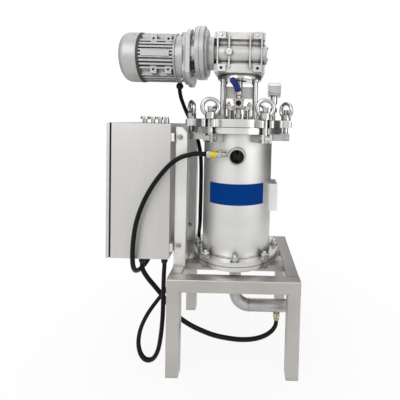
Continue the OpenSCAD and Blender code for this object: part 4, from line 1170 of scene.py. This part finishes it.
@dataclass
class Lantern:
    """Nuts and threads of the columns and of the gland under the gearbox.

    Attributes:
        cover_z: Upper face of the cover.
        column: Place of the columns across and along.
        stud: Place of the gland's studs across, and height of their washers over the cover.
    """

    cover_z: float = 902.0
    column: Pair = (64.0, 43.0)
    stud: Pair = (42.0, 54.0)

    def build(self) -> None:
        """Builds washers and nuts at the columns' feet, and fasteners on the gland's studs."""
        wide, deep = self.column
        feet = [(x, y, self.cover_z) for x in (-wide, wide) for y in (-deep, deep)]
        studs = [(x, 0.0, self.cover_z + self.stud[1]) for x in (-self.stud[0], self.stud[0])]
        patches = Fastener((17.0, 2.6), (2.4, 27.4, 12.0)).at(feet, UP)
        patches += Fastener((10.5, 1.8), (1.6, 17.3, 7.8), (9.0, 4.7, 8.0, 1.5, 0.5)).at(studs, UP)
        make_piece("lantern_fasteners", patches, MACHINED, smooth=SHARP)


@dataclass
class Drive:
    """Fine pieces on the motor, the gear stage and the gearbox.

    Attributes:
        motor: Place of the motor's axis across and in height.
        worm_z: Height of the worm's axis.
        motor_r: Radius of the motor.
        cover_x: Place where the fan cover ends and the body starts.
        flange_x: Left face of the motor's flange.
        disc_x: Left face of the stage's disc.
        top_z: Upper face of the gearbox's top cap.
    """

    motor: Pair = (-82.0, 1125.0)
    worm_z: float = 1146.0
    motor_r: float = 90.0
    cover_x: float = -360.0
    flange_x: float = -200.0
    disc_x: float = -154.9
    top_z: float = 1226.0

    def build(self) -> None:
        """Builds a dark ring of painted shade in the fan cover's gap, the cover's lip and screws, and the
        bolts of the motor and the stage.
        """
        y, z = self.motor
        axle = Spindle((self.cover_x, y, z), RIGHT)
        # A dark ring in the gap under the fan cover's rim: painted shade.
        make_piece("cover_gap_shade", [axle.ring(oblong(87.0, 90.4, -0.5, 7.5), 96)], GROOVE_AND_SHADE)
        lip = [(89.0, -7.0), (91.0, -6.0), (91.6, -3.5), (91.0, -1.0), (89.0, -0.4)]
        screw = [(0.0, 2.4), (2.6, 2.2), (4.2, 0.8), (4.2, -0.6), (0.0, -0.6)]
        rays = arc((-52.0, 52.0, 128.0, 232.0), UP, FRONT)
        middle = axle.shift(-16.0).at
        heads = [Spindle(middle, ray).shift(self.motor_r).turn(screw, 20) for ray in rays]
        make_piece("cover_lip", [axle.ring(lip, 96), *heads], PAINT)
        bolts = circle((self.flange_x, y, z), 89.0, (28.0, -28.0, 152.0, -152.0), FRONT, UP)
        patches = Fastener((9.0, 1.8), (1.6, 15.0, 8.0)).at(bolts, LEFT)
        bolts = circle((self.disc_x, y, self.worm_z), 86.0, 22.5 + EIGHTHS, FRONT, UP)
        patches += Fastener((8.6, 1.6), (1.4, 14.0, 7.0)).at(bolts, LEFT)
        make_piece("drive_fasteners", patches, MACHINED, smooth=SHARP)
        self.stage()
        self.gearbox()

    def stage(self) -> None:
        """The stage's parting line, its bare label and its black cap."""
        y = self.motor[0]
        axle = Spindle((0.0, y, self.worm_z), RIGHT)
        make_piece("stage_line", [axle.ring(oblong(97.0, 98.7, -141.0, -139.6), 96)], GROOVE_AND_SHADE)
        middle = (self.motor[1] + self.worm_z) / 2.0
        label = curved_panel((0.0, y, middle), [UP, FRONT, RIGHT], 75.0, 0.7, (-12.0, 14.0), (-172.0, -156.5))
        make_piece("stage_label", [label], LINE_WHITE)
        ray = arc((36.0,), DOWN, FRONT)[0]
        cap = [(0.0, 0.0), (8.0, 0.0), (8.0, 4.0), (12.5, 4.0), (13.5, 6.0), (13.5, 15.0), (12.0, 18.0),
               (0.0, 19.0)]
        make_piece("stage_cap", [Spindle((-164.0, y, middle), ray).shift(72.0).turn(cap, 36)], BLACK)

    def gearbox(self) -> None:
        """Plugs in the upper holes, the drain plug's ring and washer, and screws of both caps."""
        plug = [(0.0, 0.0), (5.3, 0.0), (5.3, 1.6), (3.2, 2.4), (0.0, 2.4)]
        patches = [Spindle((x, -124.6, 1206.5), FRONT).turn(plug, 24) for x in (-66.0, 66.0)]
        drain = Spindle((-38.0, -127.0, self.worm_z), FRONT)
        ring = [(7.0, 0.0), (12.0, 0.0), (12.0, 6.0), (10.8, 7.4), (8.4, 7.4), (7.0, 6.0)]
        make_piece("plug_ring", [drain.ring(ring, 48)], CHROME)
        patches += [drain.washer(13.6, 1.8), drain.nut(11.6, 4.0)]
        ends = circle((100.0, self.motor[0], self.worm_z), 29.0, CORNERS, BACK, UP)
        tops = circle((0.0, 0.0, self.top_z), 48.0, SIXTHS, RIGHT, BACK)
        patches += Fastener(nut=(0.0, 10.0, 5.0)).at(ends, RIGHT)
        patches += Fastener(nut=(0.0, 13.0, 6.0)).at(tops, UP)
        make_piece("gearbox_fasteners", patches, MACHINED, smooth=SHARP)


@dataclass
class CoverGear:
    """The vent valve's lever and nut, and the gauge's rims and marks.

    Attributes:
        valve: Middle of the vent valve.
        gauge: Left end of the gauge's axis.
        gauge_r: Radius of the gauge's case.
        gauge_t: Length of the gauge's case.
        dial_depth: Depth of the dial's face behind the case's end.
        marks: Number of marks on the dial, with every fifth one long.
        mark_r: Inner radius of a long and of a short mark, and outer radius.
    """

    valve: Triple = (0.0, -88.0, 961.0)
    gauge: Triple = (121.0, 45.0, 1030.0)
    gauge_r: float = 30.0
    gauge_t: float = 49.0
    dial_depth: float = 19.8
    marks: int = 21
    mark_r: Triple = (16.0, 18.5, 22.0)

    def build(self) -> None:
        """Builds the lever's pieces on the lever and the other pieces on the frame."""
        x, y, z = self.valve
        upright = Spindle(self.valve)
        front = Spindle(self.valve, FRONT)
        knots = [(-2.0, -8.0, 43.0), (-5.0, -10.0, 56.0), (-14.0, -11.0, 74.0), (-30.0, -12.0, 95.0)]
        grip = make_piece("lever_sleeve", [handle(self.valve, knots, FRONT, 24.0, 13.0)], SLEEVE, LEVER)
        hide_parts("valve_lever")
        knots = [(0.0, 0.0, 30.0), (0.0, -6.0, 33.0), (-2.0, -8.0, 50.0)]
        stem = upright.turn([(0.0, 0.0), (4.3, 0.0), (4.3, 44.0), (3.6, 45.0), (0.0, 45.0)], 24)
        make_piece("lever_arm", [handle(self.valve, knots, RIGHT, 5.0, 15.0), stem], POLISHED, LEVER)
        make_piece("lever_nut", [upright.shift(36.0).nut(15.0, 7.0)], COPPER, LEVER, SHARP)
        make_piece("valve_packing", [upright.ring(oblong(4.7, 9.6, 24.0, 28.6))], COPPER)
        # The ball inside the valve made near black: painted shade seen through the bore.
        make_piece("valve_ball_shade", [upright.ball(11.9)], GROOVE_AND_SHADE, LEVER)
        rim = [(10.0, 33.6), (15.2, 33.6), (16.4, 34.6), (15.2, 36.0), (10.6, 36.0), (10.0, 35.2)]
        make_piece("valve_rim", [front.ring(rim)], POLISHED)
        # A dark liner inside the valve's bore: painted shade.
        shade_liner = [(5.2, 18.3), (9.8, 18.3), (9.8, 33.2), (9.2, 33.2), (9.2, 19.0), (5.2, 19.0)]
        make_piece("valve_bore_shade", [front.ring(shade_liner)], GROOVE_AND_SHADE)
        lugs = circle((x, y - 11.0, z), 20.5, CORNERS, RIGHT, UP)
        screw = Fastener((7.2, 11.0), (10.6, 9.4, 5.0))
        make_piece("valve_bolts", screw.at(lugs, FRONT), POLISHED, smooth=SHARP)
        self.dial()

    def dial(self) -> None:
        """The gauge's bezel and back rim, and marks on the dial as bars along an arc."""
        r, t = self.gauge_r, self.gauge_t
        axle = Spindle(self.gauge, RIGHT)
        bezel = [(r - 5.0, t - 3.0), (r - 0.5, t - 9.0), (r + 1.6, t - 9.0), (r + 2.0, t - 1.0),
                 (r + 0.6, t + 1.0), (r - 4.0, t + 1.0)]
        rim = [(r - 6.0, -0.6), (r + 0.6, -0.6), (r + 1.0, 3.0), (r - 0.5, 4.0), (r - 6.0, 4.0)]
        make_piece("gauge_rims", [axle.ring(bezel), axle.ring(rim)], POLISHED)
        face = axle.shift(t - self.dial_depth).at
        angles = np.linspace(-135.0, 135.0, self.marks)
        long, short, outer = (circle(face, reach, angles, BACK, UP) for reach in self.mark_r)
        sides = arc(angles + 90.0, BACK, UP)
        bars = [bar(long[i], outer[i], sides[i], 1.2, 0.3) if i % 5 == 0 else
                bar(short[i], outer[i], sides[i], 0.6, 0.3) for i in range(self.marks)]
        make_piece("gauge_marks", bars, BLACK)


@dataclass
class HoseEnds:
    """Collars, nuts and glands at the ends of the hoses and the cable.

    Attributes:
        tap: Place where the upper fitting starts.
        outlet: Place where the lower fitting starts.
        cabinet_z: Underside of the cabinet.
        cabinet_glands: Place across and along, bore and length of each gland under the cabinet.
        motor_gland: Middle of the gland's ball under the motor.
    """

    tap: Triple = (-42.0, -156.0, 776.0)
    outlet: Triple = (175.0, 0.0, 106.85)
    cabinet_z: float = 380.0
    cabinet_glands: tuple[tuple[float, ...], ...] = (
        (-346.0, -33.0, 17.0, 14.0), (-352.0, -95.0, 17.0, 30.0), (-268.0, -95.0, 16.0, 30.0),
    )
    motor_gland: Triple = (-246.0, 18.0, 1034.0)

    def build(self) -> None:
        """Builds the yellow collar, the nuts of both fittings and the glands."""
        tap = Spindle(self.tap, LEFT)
        outlet = Spindle(self.outlet, DOWN)
        collar = [(0.0, 30.0), (12.4, 30.0), (12.9, 31.5), (12.9, 38.5), (12.2, 39.3), (12.2, 41.0),
                  (12.9, 41.8), (12.9, 50.0), (12.0, 51.5), (0.0, 51.5)]
        make_piece("hose_collar", [tap.turn(collar, 48)], YELLOW)
        steel = [tap.shift(11.6).nut(25.0, 13.0), tap.shift(51.0).nut(23.0, 14.5),
                 tap.shift(-4.0).thread(9.0, 9.0, 1.8, 0.6)]
        make_piece("hose_nuts", steel, POLISHED, smooth=SHARP)
        brass = [outlet.shift(0.5).nut(25.0, 17.0), outlet.shift(19.0).nut(22.5, 12.0)]
        make_piece("outlet_nuts", brass, BRASS, smooth=SHARP)
        self.glands()

    def glands(self) -> None:
        """Whole glands in place of the plain ones: a lock nut and a stepped dome, or a ball and a neck."""
        patches = []
        for x, y, bore, length in self.cabinet_glands:
            top = Spindle((x, y, self.cabinet_z), DOWN)
            outer = bore / 2.0 + 4.2
            dome = [(0.0, 0.0), (outer - 1.2, 0.0), (outer - 1.2, 0.5 * length), (outer, 0.5 * length),
                    (outer, 0.72 * length), (outer - 1.4, 0.9 * length), (bore / 2.0 + 1.0, length),
                    (0.0, length)]
            patches += [top.turn(dome), top.nut(bore + 10.0, 6.4)]
        motor = Spindle(self.motor_gland)
        neck = oblong(0.0, 9.0, 8.0, 49.2)
        patches += [motor.ball(14.6), motor.turn(neck, 32), motor.shift(40.0).nut(24.0, 9.0)]
        piece = make_piece("gland_nuts", patches, BLACK, smooth=SHARP)
        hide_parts("cable_glands")


@dataclass
class CabinetTrim:
    """Bolts of the cabinet's rails, weld beads at the posts' feet and ground seams of the stand.

    Attributes:
        posts: Places of the two posts along the stand's side.
        post_x: Middle of the posts.
        rails: Heights of the rails.
        beam_z: Upper face of the stand.
        stand: Half of the stand's width and depth.
        tube: Side of the square tube.
        seam: Height and thickness of a ground seam.
    """

    posts: Pair = (-82.0, 140.0)
    post_x: float = -209.5
    rails: Pair = (422.0, 831.0)
    beam_z: float = 346.0
    stand: Pair = (232.0, 204.0)
    tube: float = 45.0
    seam: Pair = (6.0, 4.0)

    def build(self) -> None:
        """Builds fasteners at the rails, a bead around each post, and the seams."""
        spots = [(self.post_x - 4.0, y - self.tube / 2.0, z) for y in self.posts for z in self.rails]
        screw = Fastener((9.5, 1.8), (1.6, 13.4, 7.0), (8.0, 3.6, 7.0, 1.25, 0.4))
        make_piece("rail_fasteners", screw.at(spots, FRONT), MACHINED, smooth=SHARP)
        make_piece("post_welds", [self.square_bead(y) for y in self.posts], WELD)
        self.seams()

    def seams(self) -> None:
        """Seams ground flush between legs and beams: a bar in the groove on each outer face."""
        inset, margin, rise = 1.9, 3.6, 2.4
        half = self.tube / 2.0
        wide, deep = self.stand
        middle = self.beam_z - self.tube + rise
        bars = []
        for x, y in ((-1.0, -1.0), (-1.0, 1.0), (1.0, -1.0), (1.0, 1.0)):
            leg = np.array((x * (wide - half), y * (deep - half), middle))
            for out, along in (((0.0, y, 0.0), RIGHT), ((x, 0.0, 0.0), BACK)):
                face = leg + (half - inset) * np.array(out)
                run = (half - margin) * np.array(along)
                bars.append(bar(face - run, face + run, UP, *self.seam))
        make_piece("stand_seams", bars, STAND)

    def square_bead(self, y: float) -> Patch:
        """A weld bead around a post's foot: a square path whose corners a superellipse draws round.

        Args:
            y: Place of the post along the stand's side.

        Returns:
            The bead's surface.
        """
        out = arc(np.linspace(0.0, 360.0, 200), BACK, RIGHT)
        power, reach, rise, size = 0.12, 22.6, 0.6, 1.8
        square = np.sign(out) * np.abs(out) ** power * reach
        return bead(np.array((self.post_x, y, self.beam_z + rise)) + square, out, UP, size)


def dress_nodes(nodes: dict[str, bpy.types.Object]) -> None:
    """Gives each CAD node named in the finishes table its finish.

    Args:
        nodes: CAD objects by name.
    """
    finishes = {name: finish for finish, names in FINISHED_NODES for name in names.split()}
    for name, piece in nodes.items():
        finish = finishes.get(name)
        if finish is None:
            continue
        piece.data.materials.clear()
        piece.data.materials.append(finish.material())
        LOG.info("finish %s on %s", finish.name, name)


def corners() -> list[list[float]]:
    """The shown object's lowest and highest corner as plain lists."""
    return [[float(value) for value in corner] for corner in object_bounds()]


def main() -> None:
    """Builds the scene around the frame, in order."""
    logging.basicConfig(level=logging.INFO, format="%(message)s")
    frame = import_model()
    bpy.context.scene.view_settings.view_transform = "Standard"
    Studio().build()
    Cord("pressure_hose_upper", "upper_hose", UPPER_ROUTE, 17.0, RUBBER, Stiffness.STIFF).build()
    Cord("pressure_hose_lower", "lower_hose", LOWER_ROUTE, 17.0, RUBBER, Stiffness.STIFF).build()
    Cord("motor_lead", "motor_cable", MOTOR_ROUTE, 16.0, CABLE, Stiffness.MEDIUM).build()
    dress_nodes(frame["nodes"])
    for part in (Vessel(), Closure(), Lantern(), Drive(), CoverGear(), HoseEnds(), CabinetTrim()):
        part.build()


if __name__ == "__main__":
    main()
